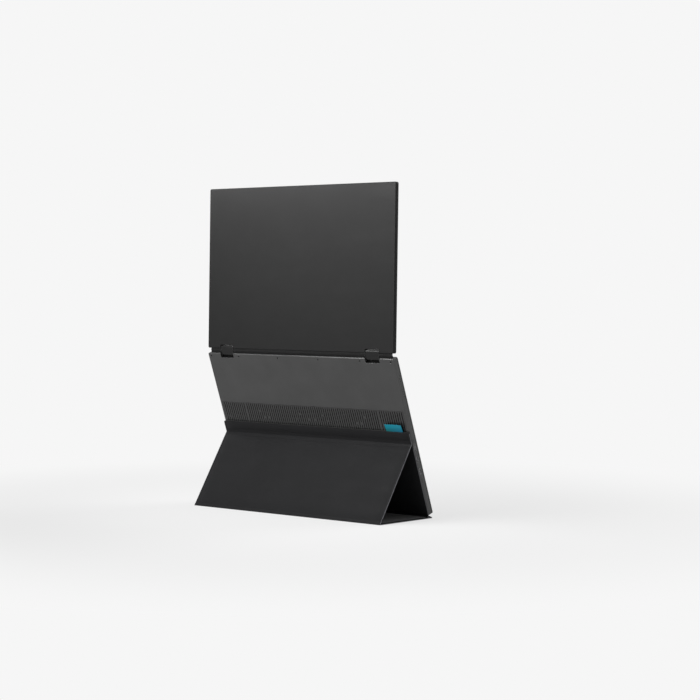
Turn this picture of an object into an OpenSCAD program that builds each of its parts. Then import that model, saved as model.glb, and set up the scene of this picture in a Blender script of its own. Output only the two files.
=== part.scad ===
// Folding monitor of two equal panels, standing on its own folding cover.
// Millimetres. x runs across the panels, y points to the back, z points up.
// The origin lies on the table, under the middle of the whole stand.

/* [Panels] */
// Width of both panels
panel_w = 360; // [290:1:440]
// Height of both panels, hinge edge to free edge
panel_h = 235; // [205:1:285]
// Thickness of the lower panel
base_t = 9.5; // [9.3:0.1:12]
// Thickness of the upper panel
lid_t = 6; // [5.8:0.1:8]
// Corner radius of both panels
corner_r = 2.5; // [2:0.5:12]
// Bevel round the back edges
back_bevel = 0.7; // [0.3:0.1:1]
// Bevel round the screen edges
front_bevel = 0.3; // [0.1:0.1:0.5]
// Side walls of both shells
wall = 1.2; // [1:0.1:1.5]
// Back wall of the lower shell
base_back = 1; // [0.8:0.1:1.4]
// Back wall of the upper shell
lid_back = 0.8; // [0.6:0.1:1]

/* [Pose] */
// Lean of the lower panel away from the user, degrees
base_lean = 19.6; // [15:0.1:24]
// Lean of the upper panel, negative towards the user
lid_lean = -1; // [-6:0.5:8]
// Height of the lower panel's back edge above the table
seat_h = 3.7; // [3.5:0.1:5]

/* [Hinges] */
// Side edge of a panel to the middle of its hinge
hinge_inset = 39; // [32:1:60]
// Width of a hinge block
block_w = 24; // [20:1:30]
// Thickness of a hinge block
block_t = 5.5; // [5:0.1:6]
// Free play beside a block in its notch
block_play = 1; // [0.5:0.1:2]
// Panel edge to hinge axis
axis_inset = 1.65; // [1.6:0.05:2]
// Gap between the closed panels
closed_gap = 1.6; // [1.5:0.1:3]
// Shaft diameter
shaft_d = 2; // [1.6:0.1:2.2]
// Depth of the notches in the lower panel
base_notch = 6.9; // [5.5:0.1:7]
// Depth of the notches in the upper panel
lid_notch = 5.5; // [5.3:0.1:7]
// Steel of the hinge brackets
bracket_t = 0.8; // [0.6:0.1:1]
// Width of each bracket arm
arm_w = 6; // [4:0.5:7]
// Running clearance of a shaft, on the radius
running_fit = 0.05; // [0.02:0.01:0.1]
// Length of the covers along the gap between the panels
gap_cover_len = 348.8; // [260:0.1:420]
// Thickness of the rib on the lower panel's hinge edge
lower_rib_t = 4; // [3:0.1:5]
// Thickness of the rib on the upper panel's hinge edge
upper_rib_t = 3; // [2:0.1:3.4]

/* [Screens] */
// Cover glass thickness
glass_t = 0.7; // [0.5:0.1:0.8]
// Display panel thickness
lcd_t = 1.1; // [0.9:0.1:1.2]
// Backlight thickness
backlight_t = 1.8; // [1.4:0.1:1.8]
// Width of the thin rim round the glass
rim_w = 1.2; // [1:0.1:2]
// Ledge that carries the glass
ledge_w = 2.2; // [1.5:0.1:3]
// Height of the bare bar on the hinge side
hinge_bar = 8; // [8:0.5:14]
// Gap between glass and frame
glass_play = 0.1; // [0.05:0.05:0.3]

/* [Grille] */
// Hinge edge to the top of the grille
grille_drop = 77.5; // [66:0.5:82]
// Height of the grille window
grille_h = 38; // [30:1:45]
// Side edge to the grille window
grille_inset = 4.2; // [4:0.1:20]
// Thickness of the grille plate
grille_t = 0.8; // [0.6:0.1:1.2]
// Depth of the grille's face below the back face
grille_sink = 0.3; // [0.2:0.05:0.5]
// Groove round the raised face of the grille
grille_groove = 0.4; // [0.2:0.05:0.8]
// Width of a slot
slot_w = 1.3; // [0.8:0.1:2]
// Plain margin above and below the slots
slot_margin = 1.3; // [1:0.1:4]
// Slot pitch across the grille
slot_pitch = 4; // [3:0.1:6]
// Side edge to the middle of the plain bar between two fields of slots
bar_inset = 51; // [30:1:70]
// Width of that bar
bar_w = 4.6; // [3:0.1:8]
// Blind boss diameter
boss_d = 4; // [3:0.1:5]

/* [Ports] */
// Grille's lower edge down to the power button
power_drop = 7.3; // [6:0.1:9]
// Grille's lower edge down to the mini HDMI port
hdmi_drop = 18.1; // [18.1:0.1:21]
// Grille's lower edge down to the upper USB-C port
usb_high_drop = 34.1; // [31.5:0.1:38]
// Grille's lower edge down to the lower USB-C port
usb_low_drop = 52.7; // [48:0.1:56]
// Grille's lower edge down to the menu rocker
rocker_drop = 66.9; // [66:0.1:75]
// Back face to the middle of every port
port_y = 3; // [2.9:0.05:3.6]
// Depth of the ports behind the side face
port_depth = 8; // [6:0.5:12]
// Speaker holes on each side
speaker_holes = 9; // [3:2:11]
// Speaker hole diameter
speaker_hole_d = 1.5; // [1:0.1:2]
// Speaker hole pitch
speaker_pitch = 3.8; // [3:0.1:4.5]
// Hinge edge to the middle of the speaker holes
speaker_drop = 41.8; // [41.8:0.1:43]
// Hinge edge to the back screws
screw_drop = 4.6; // [4.6:0.1:6]

/* [Buttons] */
// Length of the power button
power_len = 5.6; // [4:0.1:6]
// Length of the menu rocker
rocker_len = 8; // [6:0.1:9]
// Width of both buttons
button_w = 2.2; // [1.6:0.1:2.4]
// How far the buttons stand proud
button_proud = 0.15; // [0:0.05:0.4]
// Travel of the power button
power_travel = 0.35; // [0.2:0.05:0.5]
// Clearance round both buttons
button_play = 0.15; // [0.1:0.05:0.2]

/* [Cover] */
// Cover width beyond each side of the panels
cover_over = 0.5; // [-2:0.1:2]
// Outer skin of the cover
skin_t = 0.8; // [0.6:0.1:1]
// Stiff board inside the cover
board_t = 1; // [0.8:0.1:1.4]
// Inner lining of the cover
lining_t = 0.5; // [0.3:0.1:0.6]
// Height of the cover's ridge up the back face
ridge_h = 109.4; // [100:0.1:112]
// Height of the top strip above the ridge
strip_h = 17.8; // [14:0.1:20]
// Back face to the rear crease along the table
foot_reach = 106; // [90:1:140]
// How far the front nose reaches past the back edge
nose_reach = 6.1; // [4:0.1:8]
// Radius of the front nose
nose_r = 0.9; // [0.8:0.1:1]
// Bare cloth left beside each crease
fold_gap = 4.5; // [4.2:0.1:6]
// Gap between the top strip and the panel it seats on
seat_gap = 0.3; // [0.2:0.1:0.5]
// Inset of the boards from the cover's sides
board_inset = 3; // [2:0.5:6]
// Corner radius of the cover
cover_r = 3; // [1:0.5:5]

/* [Pull tab] */
// Width of the ribbon tab
tab_w = 30; // [15:1:40]
// Height of the ribbon tab above the strip
tab_h = 11.6; // [8:0.1:20]
// Thickness of the doubled ribbon
tab_t = 1; // [0.6:0.1:1.5]
// Side edge to the middle of the tab
tab_inset = 25.4; // [20:0.1:60]
// Lean of the tab off the panel, degrees
tab_lean = 8; // [0:1:20]

/* [Magnets] */
// Magnets along the strip
magnet_count = 6; // [2:2:8]
// Magnet length
magnet_len = 20; // [10:1:30]
// Magnet height
magnet_h = 4.6; // [3:0.1:5]

/* [Hidden] */
$fn = 48;
eps = 0.01;

// Hinges
hinge_x = panel_w/2 - hinge_inset;
notch_w = block_w + 2*block_play;
hinge_d = (base_t + lid_t)/2 + closed_gap;
link_lean = (base_lean + lid_lean)/2;
loop_r = shaft_d/2 + 0.35;
loop_play = 0.1;
arm_x = notch_w/2 + wall + 0.2;
shaft_len = notch_w + 2*(wall + 0.2 + arm_w);
clip_r = shaft_d/2 + 0.8;
clip_len = block_w - 8;
clip_slit = 0.6;
end_play = 0.07;
block_end = axis_inset + block_t/2 + end_play;
lower_swing = norm([base_t/2, axis_inset]) + 0.04;
upper_swing = norm([lid_t/2, axis_inset]) + 0.04;
liner_t = 0.5;
web_front = 1.2;
web_low = 4.15;
web_high = 6.95;

// Shells and screens
base_depth = base_t/2 + loop_r + loop_play;
lid_depth = lid_t/2 + loop_r + loop_play;
glass_w = panel_w - 2*(rim_w + glass_play);
glass_h = panel_h - hinge_bar - rim_w - 2*glass_play;
window_w = glass_w - 2*ledge_w;
window_h = glass_h - 2*ledge_w;
lcd_play = 1;
glass_r = corner_r - rim_w;
window_r = max(glass_r - ledge_w, 0.8);

// Grille
grille_w = panel_w - 2*grille_inset;
grille_z = panel_h - grille_drop - grille_h;
grille_flange = 2;
grille_r = 1.5;
mesh_t = 0.3;
bar_x = panel_w/2 - bar_inset;
slots_in = floor((bar_x - (bar_w + slot_w + slot_pitch)/2)/slot_pitch);
slots_out = floor((grille_w/2 - 2.5 - bar_x - (bar_w + slot_w)/2)/slot_pitch);
slots_x = concat([for (i = [0:slots_in]) (i + 0.5)*slot_pitch],
    [for (i = [0:slots_out]) bar_x + (bar_w + slot_w)/2 + i*slot_pitch]);
// Blind bosses as [x, drop below the window's top], mirrored to both sides
bosses = [[7, 21], [23.3, 13.5], [31.5, 21.5], [87, 22], [95, 22], [103, 12.5], [128.5, 4], [166, 23.5]];

// Ports and buttons, up from the bottom edge
power_z = grille_z - power_drop;
hdmi_z = grille_z - hdmi_drop;
usb_high_z = grille_z - usb_high_drop;
usb_low_z = grille_z - usb_low_drop;
rocker_z = grille_z - rocker_drop;
speaker_z = panel_h - speaker_drop;
speaker_half = 21;

// Electronics
usb_len = 9;
usb_h = 3.2;
hdmi_len = 11.2;
port_wall = 0.3;
port_set = 0.2;
board_thick = 1;
board_back = port_y + usb_h/2;
board_low = rocker_z - 12.6;
board_high = grille_z + grille_h + 7.5;
board_hole_in = 6;
spreader_front = 1.5;
spreader_base = 0.6;
screw_r = 0.7;
screw_head_r = 1.15;
screw_boss_r = 2.3;
screw_sink = 0.9;
screw_bite = 1.8;
screw_x = [(hinge_x - notch_w/2 - 10.5)/3, hinge_x - notch_w/2 - 10.5, panel_w/2 - 6];
side_x = panel_w/2;
flange_t = 0.8;
flange_lip = 0.7;
flange_gap = 0.3;
pin_sink = 0.5;

// Cover
cover_w = panel_w + 2*cover_over;
cover_t = skin_t + board_t + lining_t;
crease_r = skin_t/2;
crease_play = 0.05;
inner_y = crease_r - cover_t;
board_w = cover_w - 2*board_inset;
panel_gap = 3;
panel_lift = 0.8;
ridge_out = seat_gap + cover_t - crease_r;
ridge_y = ridge_h*sin(base_lean) + ridge_out*cos(base_lean);
ridge_z = seat_h + ridge_h*cos(base_lean) - ridge_out*sin(base_lean);
leg_len = norm([foot_reach - ridge_y, ridge_z - crease_r]);
leg_lean = atan2(foot_reach - ridge_y, ridge_z - crease_r);
rear_clear = crease_r/tan((90 - leg_lean)/2) + crease_play;
nose_y = nose_r - nose_reach;
flap_top = seat_h + back_bevel*sin(base_lean) - 0.1;
flap_fall = 0.55;
flap_back = 3.6;
flap_lift = 0.3;
board_front = flap_back + 1.4;
magnet_pitch = (cover_w - 60)/(magnet_count - 1);
magnet_z = fold_gap + magnet_h/2 + 0.3;

// The whole stand runs from the lower panel's front edge to the rear crease
front_y = front_bevel*sin(base_lean) - base_t*cos(base_lean);
middle_y = (front_y + foot_reach + crease_r)/2;

// ---- places -------------------------------------------------------------

// Table frame: origin under the lower panel's back edge
module on_table() translate([0, -middle_y, 0]) children();

// Lower panel frame: back face at y = 0, bottom edge at z = 0
module in_base() on_table() translate([0, 0, seat_h]) rotate([-base_lean, 0, 0]) children();

// Lower panel frame seen from its hinge edge: z runs away from the edge
module from_base_edge() in_base() translate([0, 0, panel_h]) mirror([0, 0, 1]) children();

// Hinge link frame: lower axis at the origin, upper axis up the z axis
module in_link() in_base() translate([0, -base_t/2, panel_h - axis_inset])
    rotate([base_lean - link_lean, 0, 0]) children();

// Upper panel frame: back face at y = 0, hinge edge at z = 0
module in_lid() in_link() translate([0, 0, hinge_d]) rotate([link_lean - lid_lean, 0, 0])
    translate([0, lid_t/2, -axis_inset]) children();

// Leg frame: rear crease at the origin, ridge up the z axis, outer side at +y
module in_leg() on_table() translate([0, foot_reach, crease_r]) rotate([leg_lean, 0, 0]) children();

// Strip frame: ridge at the origin, parallel to the lower panel
module in_strip() on_table() translate([0, ridge_y, ridge_z]) rotate([-base_lean, 0, 0]) children();

// ---- plain shapes -------------------------------------------------------

// Block between two opposite corners
module span(from, to) translate(from) cube(to - from);

// Round bar along x, centred on the axis through [y, z]
module bar(length, radius, y = 0, z = 0) translate([-length/2, y, z]) rotate([0, 90, 0])
    cylinder(h = length, r = radius);

// Flat outline in x and z, made solid from y0 to y1
module sheet(y0, y1) translate([0, y1, 0]) rotate([90, 0, 0]) linear_extrude(y1 - y0) children();

// Rectangle with round corners, its lower edge on the x axis
module round_rect(w, h, r) union() {
    translate([-w/2 + r, 0]) square([w - 2*r, h]);
    translate([-w/2, r]) square([w, h - 2*r]);
    for (x = [-1, 1], z = [r, h - r]) translate([x*(w/2 - r), z]) circle(r);
}

// Slot outline with round ends, long side along the second axis
module slot(w, h) union() {
    square([w, h - w], center = true);
    for (s = [-1, 1]) translate([0, s*(h - w)/2]) circle(d = w, $fn = 24);
}

// Slot-shaped plug along x from x0 to x1, its long side along z
module side_plug(x0, x1, w, len, y, z) translate([x0, y, z]) rotate([90, 0, 90])
    linear_extrude(x1 - x0) slot(w, len);

// Flat box with round corners and bevelled edges, back face at y = 0
module slab(w, h, t, r, back, front) {
    edge = [[0, 0], [r - back, 0], [r, back], [r, t - front], [r - front, t], [0, t]];
    for (x = [-1, 1], z = [r, h - r]) translate([x*(w/2 - r), 0, z]) rotate([90, 0, 0])
        rotate_extrude() polygon(edge);
    translate([-w/2 + r, 0, 0]) rotate([90, 0, 90]) linear_extrude(w - 2*r)
        polygon([[0, back], [-back, 0], [front - t, 0], [-t, front],
            [-t, h - front], [front - t, h], [-back, h], [0, h - back]]);
    translate([0, 0, r]) linear_extrude(h - 2*r)
        polygon([[back - w/2, 0], [-w/2, -back], [-w/2, front - t], [front - w/2, -t],
            [w/2 - front, -t], [w/2, front - t], [w/2, -back], [w/2 - back, 0]]);
}

// ---- hinge parts shared by both panels ----------------------------------

// Both hinge places, measured from the hinge edge
module at_hinges() for (s = [-1, 1]) translate([s*hinge_x, 0, 0]) children();

// Walls that close a shell round a notch
module notch_rim(notch, depth) at_hinges()
    span([-notch_w/2 - wall, -depth, 0], [notch_w/2 + wall, 0, notch + wall]);

// Everything that a hinge takes out of a panel
module notch_cut(notch, depth, mid) at_hinges() {
    span([-notch_w/2, -depth - 1, -1], [notch_w/2, 1, notch]);
    bar(shaft_len + 0.4, shaft_d/2 + 0.15, -mid, axis_inset);
    for (s = [-1, 1]) translate([s*(arm_x + arm_w/2), 0, 0])
        bar(arm_w + 0.4, loop_r + loop_play, -mid, axis_inset);
}

// Black liners on the ends of both notches, with a lip that fills the screen side up to
// the block's round end
module notch_liners(notch, depth, mid) at_hinges() {
    span([-notch_w/2, -depth, notch - liner_t], [notch_w/2, -0.4, notch]);
    span([-notch_w/2, -depth, block_end], [notch_w/2, -mid, notch]);
}

// Dark rib along a panel's hinge edge, rounded about the hinge axis, left out at the notches
module gap_rib(mid, rib_t, radius) difference() {
    translate([0, -mid, 0]) intersection() {
        bar(gap_cover_len, radius, 0, axis_inset);
        span([-gap_cover_len/2, -rib_t/2, -radius], [gap_cover_len/2, rib_t/2, -0.05]);
    }
    at_hinges() span([-notch_w/2, -2*mid, -radius], [notch_w/2, 1, 1]);
}

// Steel bracket: a plate on the back wall with two arms that loop round the shaft
module bracket(side, mid, back, notch) translate([side*hinge_x, 0, 0]) {
    plate_y = -back - bracket_t;
    plate_z = notch + wall + 0.3;
    difference() {
        union() {
            span([-arm_x - arm_w, plate_y, plate_z], [arm_x + arm_w, -back, plate_z + 12]);
            for (s = [-1, 1]) translate([s*(arm_x + arm_w/2), 0, 0]) {
                bar(arm_w, loop_r, -mid, axis_inset);
                span([-arm_w/2, -mid, wall + 0.1], [arm_w/2, -back, axis_inset + loop_r]);
                span([-arm_w/2, plate_y, axis_inset], [arm_w/2, -back, plate_z + 1]);
            }
        }
        bar(shaft_len + 2, shaft_d/2 + running_fit/2, -mid, axis_inset);
        for (x = [-10, 10]) translate([x, 0, plate_z + 7]) rotate([90, 0, 0])
            cylinder(h = 2*(back + bracket_t), r = 1);
    }
}

// Hinge shaft with a flange at each end
module shaft(side, mid) translate([side*hinge_x, 0, 0]) bar(shaft_len, shaft_d/2, -mid, axis_inset);

// ---- lower panel --------------------------------------------------------

module rear_shell() color("dimgray") in_base() difference() {
    union() {
        difference() {
            slab(panel_w, panel_h, base_depth, corner_r, back_bevel, 0);
            translate([0, 0, wall]) sheet(-base_depth - 1, -base_back)
                round_rect(panel_w - 2*wall, panel_h - 2*wall, corner_r - wall);
        }
        translate([0, 0, panel_h]) mirror([0, 0, 1])
            notch_rim(base_notch, base_depth);
        for (s = [-1, 1], x = screw_x) translate([s*x, 0, panel_h - screw_drop])
            rotate([90, 0, 0]) cylinder(h = base_depth, r = screw_boss_r);
    }
    translate([0, 0, panel_h]) mirror([0, 0, 1]) notch_cut(base_notch, base_depth, base_t/2);
    translate([0, 0, grille_z]) sheet(-base_back - 1, 1) round_rect(grille_w, grille_h, grille_r);
    for (s = [-1, 1], x = screw_x) translate([s*x, 1, panel_h - screw_drop]) rotate([90, 0, 0]) {
        cylinder(h = base_t, r = screw_r + 0.1);
        cylinder(h = 1 + screw_sink, r = screw_head_r + 0.15);
    }
    speaker_hole_cut();
    port_cut();
    rocker_pin(-base_back + pin_sink, -base_back - 1, flange_t/2 + running_fit);
}

// Two staggered lines of round holes through both side walls
module speaker_hole_cut() for (s = [-1, 1], i = [0:speaker_holes - 1])
    translate([s*side_x, -base_depth*2/3 + (i % 2 - 0.5), speaker_z + (i - (speaker_holes - 1)/2)*speaker_pitch])
        rotate([0, 90, 0]) cylinder(h = 4*wall, d = speaker_hole_d, center = true, $fn = 24);

// Openings in the left side wall for the ports and both buttons
module port_cut() {
    for (z = [usb_low_z, usb_high_z])
        side_plug(-side_x - 1, -side_x + 2*wall, usb_h + 0.1, usb_len + 0.1, -port_y, z);
    translate([-side_x - 1, -port_y, hdmi_z]) rotate([90, 0, 90]) linear_extrude(1 + 2*wall)
        hdmi_outline(0.05);
    side_plug(-side_x - 1, -side_x + 2*wall, button_w + 2*button_play, power_len + 2*button_play,
        -port_y, power_z);
    side_plug(-side_x - 1, -side_x + 2*wall, button_w + 2*button_play, rocker_len + 2*button_play,
        -port_y, rocker_z);
}

// Mini HDMI outline, wide along the second axis, grown by the margin
module hdmi_outline(margin) {
    a = hdmi_len/2 + margin;
    b = usb_h/2 + margin;
    polygon([[-b, -a], [0.2, -a], [b, -a + 1.3], [b, a - 1.3], [0.2, a], [-b, a]]);
}

// The upright slots of the grille, less the blind bosses that stand among them
module grille_slots() difference() {
    for (s = [-1, 1], x = slots_x) translate([s*x, grille_h/2])
        slot(slot_w, grille_h - 2*slot_margin);
    for (s = [-1, 1], b = bosses) translate([s*b[0], grille_h - b[1]])
        circle(d = boss_d, $fn = 24);
}

// Grille: a plate behind the back wall, with a face that stands up into the window
module vent_grille() color([0.2, 0.2, 0.21]) in_base() translate([0, 0, grille_z]) difference() {
    union() {
        sheet(-base_back - grille_t, -base_back) translate([0, -grille_flange])
            round_rect(grille_w + 2*grille_flange, grille_h + 2*grille_flange, grille_r + grille_flange);
        sheet(-base_back - grille_t, -grille_sink) translate([0, grille_groove])
            round_rect(grille_w - 2*grille_groove, grille_h - 2*grille_groove, grille_r - grille_groove);
    }
    sheet(-base_back - grille_t - 1, 1) grille_slots();
}

module vent_mesh() color([0.06, 0.06, 0.06]) in_base() translate([0, 0, grille_z])
    sheet(-base_back - grille_t - mesh_t, -base_back - grille_t)
        round_rect(grille_w, grille_h, grille_r);

// Front frame of a panel: thin rim, ledge under the glass and the hinge bar.
// Drawn from the hinge edge, between the screen face and the shell.
module screen_frame(t, depth) {
    difference() {
        intersection() {
            slab(panel_w, panel_h, t, corner_r, 0, front_bevel);
            span([-panel_w, -t - 1, -1], [panel_w, -depth, panel_h + 1]);
        }
        translate([0, 0, hinge_bar]) sheet(-t - 1, -t + glass_t)
            round_rect(glass_w + 2*glass_play, glass_h + 2*glass_play, glass_r);
        translate([0, 0, hinge_bar + glass_play + ledge_w]) sheet(-t - 1, 1)
            round_rect(window_w, window_h, window_r);
        at_hinges() span([-notch_w/2, -t - 1, -1], [notch_w/2, 1, block_end]);
    }
}

module cover_glass(t) translate([0, 0, hinge_bar + glass_play])
    sheet(-t, -t + glass_t) round_rect(glass_w, glass_h, glass_r - glass_play);

module lcd(t) translate([0, 0, hinge_bar + glass_play + ledge_w + lcd_play])
    sheet(-t + glass_t, -t + glass_t + lcd_t)
        round_rect(window_w - 2*lcd_play, window_h - 2*lcd_play, window_r);

module backlight(t) translate([0, 0, hinge_bar + glass_play + ledge_w + lcd_play])
    sheet(-t + glass_t + lcd_t, -t + glass_t + lcd_t + backlight_t)
        round_rect(window_w - 2*lcd_play, window_h - 2*lcd_play, window_r);

module lower_frame() color([0.16, 0.16, 0.17]) from_base_edge() difference() {
    screen_frame(base_t, base_depth);
    for (s = [-1, 1], x = screw_x) translate([s*x, -base_depth + 1, screw_drop]) rotate([90, 0, 0])
        cylinder(h = 1 + screw_bite + 0.2, r = screw_r + 0.02);
}

module lower_glass() color([0.05, 0.05, 0.06]) from_base_edge() cover_glass(base_t);
module lower_lcd() color([0.1, 0.11, 0.13]) from_base_edge() lcd(base_t);
module lower_backlight() color("whitesmoke") from_base_edge() backlight(base_t);

module main_board() color("darkgreen") in_base() difference() {
    span([-side_x + wall + 2, -board_back - board_thick, board_low], [-40, -board_back, board_high]);
    for (x = [-side_x + 12, -50], z = [board_low + board_hole_in, board_high - board_hole_in])
        translate([x, 0, z]) rotate([90, 0, 0]) cylinder(h = base_t, r = 1.2);
}

// Heat spreader: a plate behind the grille with upright fins
module heat_spreader() color("silver") in_base() {
    half = grille_w/2 - 4;
    fins = 32;
    span([-half, -board_back, grille_z + 2], [half, -board_back + spreader_base, grille_z + grille_h - 2]);
    for (i = [0:fins - 1]) translate([(i - (fins - 1)/2)*2*half/fins, 0, 0])
        span([-0.3, -board_back + spreader_base - eps, grille_z + 2],
            [0.3, -base_back - grille_t - mesh_t - 0.2, grille_z + grille_h - 2]);
}

// Slim speaker against a side wall
module speaker(side) in_base() mirror([side < 0 ? 1 : 0, 0, 0]) difference() {
    union() {
        span([side_x - 20, -base_depth + 0.7, speaker_z - speaker_half],
            [side_x - wall - 0.2, -base_back, speaker_z + speaker_half]);
        for (z = [-16, 16]) translate([side_x - 22, -base_back, speaker_z + z]) rotate([90, 0, 0])
            cylinder(h = 1.2, r = 3);
    }
    span([side_x - wall - 3, -base_depth + 1.4, speaker_z - speaker_half + 3],
        [side_x, -base_back - 0.8, speaker_z + speaker_half - 3]);
    for (z = [-16, 16]) translate([side_x - 22.4, 0, speaker_z + z]) rotate([90, 0, 0])
        cylinder(h = 2*base_back + 3, r = 0.8);
}
module speaker_left() color([0.1, 0.1, 0.1]) speaker(-1);
module speaker_right() color([0.1, 0.1, 0.1]) speaker(1);

// USB-C receptacle: metal shell, back plate and tongue
module usb_c(z) color("silver") in_base() {
    x0 = -side_x + port_set;
    x1 = -side_x + port_depth;
    difference() {
        side_plug(x0, x1, usb_h, usb_len, -port_y, z);
        side_plug(x0 - 1, x1 - 1, usb_h - 2*port_wall, usb_len - 2*port_wall, -port_y, z);
    }
    span([x0 + 1, -port_y - 0.35, z - 3.3], [x1 - 1 + eps, -port_y + 0.35, z + 3.3]);
}
module usb_c_port_upper() usb_c(usb_high_z);
module usb_c_port_lower() usb_c(usb_low_z);

module mini_hdmi_port() color("silver") in_base() translate([-side_x + port_set, -port_y, hdmi_z]) {
    difference() {
        rotate([90, 0, 90]) linear_extrude(port_depth) hdmi_outline(0);
        translate([-1, 0, 0]) rotate([90, 0, 90]) linear_extrude(port_depth) hdmi_outline(-port_wall);
    }
    span([1, -0.9, -3.8], [port_depth - 1 + eps, -0.2, 3.8]);
}

// Tactile switch with its plunger, standing behind a button
module tact_switch(z, reach) {
    x0 = -side_x + reach;
    span([x0 + 0.4, -board_back, z - 1.6], [x0 + 3, -port_y + 1.2, z + 1.6]);
    translate([x0, -port_y, z]) rotate([0, 90, 0]) cylinder(h = 0.5, r = 0.7);
}
button_back = wall + flange_gap + flange_t + power_travel + 0.1;
module power_switch() color([0.3, 0.3, 0.3]) in_base() tact_switch(power_z, button_back);
module menu_switches() color([0.3, 0.3, 0.3]) in_base() for (s = [-1, 1])
    tact_switch(rocker_z + s*(rocker_len/2 - 1.2), button_back);

// Button that fills its slot, with a flange behind the wall
module side_button(len, z) {
    side_plug(-side_x - button_proud, -side_x + wall + flange_gap + flange_t, button_w, len, -port_y, z);
    side_plug(-side_x + wall + flange_gap, -side_x + wall + flange_gap + flange_t,
        button_w + 2*(flange_lip - 0.3), len + 2*flange_lip, -port_y, z);
}
module power_button() color([0.22, 0.22, 0.23]) in_base() side_button(power_len, power_z);

// Rocker: the same cap with a round pivot pin across its middle, one end in the back wall
module menu_rocker() color([0.22, 0.22, 0.23]) in_base() {
    side_button(rocker_len, rocker_z);
    rocker_pin(-base_back + pin_sink - 0.05, -port_y - button_w/2 - flange_lip, flange_t/2);
}

// Pivot of the rocker, from the back to the front
module rocker_pin(back, front, radius) translate([-side_x + wall + flange_gap + flange_t/2, back, rocker_z])
    rotate([90, 0, 0]) cylinder(h = back - front, r = radius, $fn = 24);

module lower_bracket_left() color("silver") from_base_edge() bracket(-1, base_t/2, base_back, base_notch);
module lower_bracket_right() color("silver") from_base_edge() bracket(1, base_t/2, base_back, base_notch);
module lower_shaft_left() color("lightgray") from_base_edge() shaft(-1, base_t/2);
module lower_shaft_right() color("lightgray") from_base_edge() shaft(1, base_t/2);

module rear_screws() color("black") in_base() for (s = [-1, 1], x = screw_x)
    translate([s*x, -screw_sink + 0.5, panel_h - screw_drop]) difference() {
        rotate([90, 0, 0]) {
            cylinder(h = 0.5, r = screw_head_r);
            cylinder(h = base_depth - screw_sink + 0.5 + screw_bite, r = screw_r);
        }
        span([-0.75, -0.3, -0.17], [0.75, 1, 0.17]);
        span([-0.17, -0.3, -0.75], [0.17, 1, 0.75]);
    }

// Steel behind the back wall that the strip's magnets hold on to
module steel_strips() color("gray") in_base() for (s = [-1, 1]) translate([s*panel_w/4, 0, 0])
    span([-panel_w/5, -base_back - 0.8, ridge_h + 1], [panel_w/5, -base_back, grille_z - grille_flange - 0.3]);

module lower_gap_rib() color([0.08, 0.08, 0.08]) from_base_edge()
    gap_rib(base_t/2, lower_rib_t, lower_swing - 0.3);
module lower_notch_liners() color([0.08, 0.08, 0.08]) from_base_edge()
    notch_liners(base_notch, base_depth, base_t/2);

// ---- cover part fixed to the lower panel --------------------------------

module panel_skin() color([0.17, 0.17, 0.18]) in_base() translate([0, 0, panel_lift])
    sheet(board_t, board_t + skin_t) round_rect(cover_w, ridge_h - panel_gap - panel_lift, cover_r);

module panel_board() color([0.3, 0.3, 0.3]) in_base() translate([0, 0, panel_lift + board_inset])
    sheet(0, board_t) round_rect(board_w, ridge_h - panel_gap - panel_lift - 2*board_inset, cover_r);

// Slack cloth of the spine, folded under the lower panel
module spine_flap() color([0.14, 0.14, 0.15]) on_table() difference() {
    translate([-cover_w/2, 0, 0]) rotate([90, 0, 90]) linear_extrude(cover_w)
        polygon([[nose_y + 0.2, 2*nose_r + 0.1], [-back_bevel, flap_top],
            [flap_back, flap_top - flap_fall], [flap_back, skin_t + flap_lift],
            [nose_y + nose_r + 0.4, skin_t + flap_lift]]);
    bar(cover_w + 2, nose_r + 0.15, nose_y, nose_r);
}

// ---- hinge link ---------------------------------------------------------

// Hinge block: rounded bar with a bore for each shaft and a pocket for each clip
module hinge_block(side) in_link() translate([side*hinge_x, 0, 0]) difference() {
    union() {
        for (z = [0, hinge_d]) bar(block_w, block_t/2, 0, z);
        span([-block_w/2, -block_t/2, 0], [block_w/2, block_t/2, hinge_d]);
    }
    for (z = [0, hinge_d]) {
        bar(block_w + 2, shaft_d/2 + running_fit, 0, z);
        bar(clip_len + 0.2, clip_r + 0.05, 0, z);
    }
}
module hinge_block_left() color([0.25, 0.25, 0.26]) hinge_block(-1);
module hinge_block_right() color([0.25, 0.25, 0.26]) hinge_block(1);

// Web that closes the gap between the panels from block to block and out to both ends,
// hollowed to clear both panels' edges as they turn
module hinge_web() color([0.16, 0.16, 0.17]) in_link() difference() {
    span([-gap_cover_len/2, -web_front, web_low], [gap_cover_len/2, block_t/2, web_high]);
    bar(gap_cover_len + 2, lower_swing);
    bar(gap_cover_len + 2, upper_swing, 0, hinge_d);
    for (s = [-1, 1]) translate([s*hinge_x, 0, 0])
        span([-block_w/2 - 0.05, -block_t, 0], [block_w/2 + 0.05, block_t, hinge_d]);
}

// Split steel clips that grip both shafts and hold the panels where they are put
module friction_clips(side) in_link() for (z = [0, hinge_d]) translate([side*hinge_x, 0, z])
    difference() {
        bar(clip_len, clip_r);
        bar(clip_len + 1, shaft_d/2 + running_fit/2);
        span([-clip_len, 0, -clip_slit/2], [clip_len, clip_r + 1, clip_slit/2]);
    }
module friction_clips_left() color("silver") friction_clips(-1);
module friction_clips_right() color("silver") friction_clips(1);

// ---- upper panel --------------------------------------------------------

module lid_back_cover() color([0.3, 0.3, 0.31]) in_lid() difference() {
    union() {
        difference() {
            slab(panel_w, panel_h, lid_depth, corner_r, back_bevel, 0);
            translate([0, 0, wall]) sheet(-lid_depth - 1, -lid_back)
                round_rect(panel_w - 2*wall, panel_h - 2*wall, corner_r - wall);
        }
        notch_rim(lid_notch, lid_depth);
    }
    notch_cut(lid_notch, lid_depth, lid_t/2);
}

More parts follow.
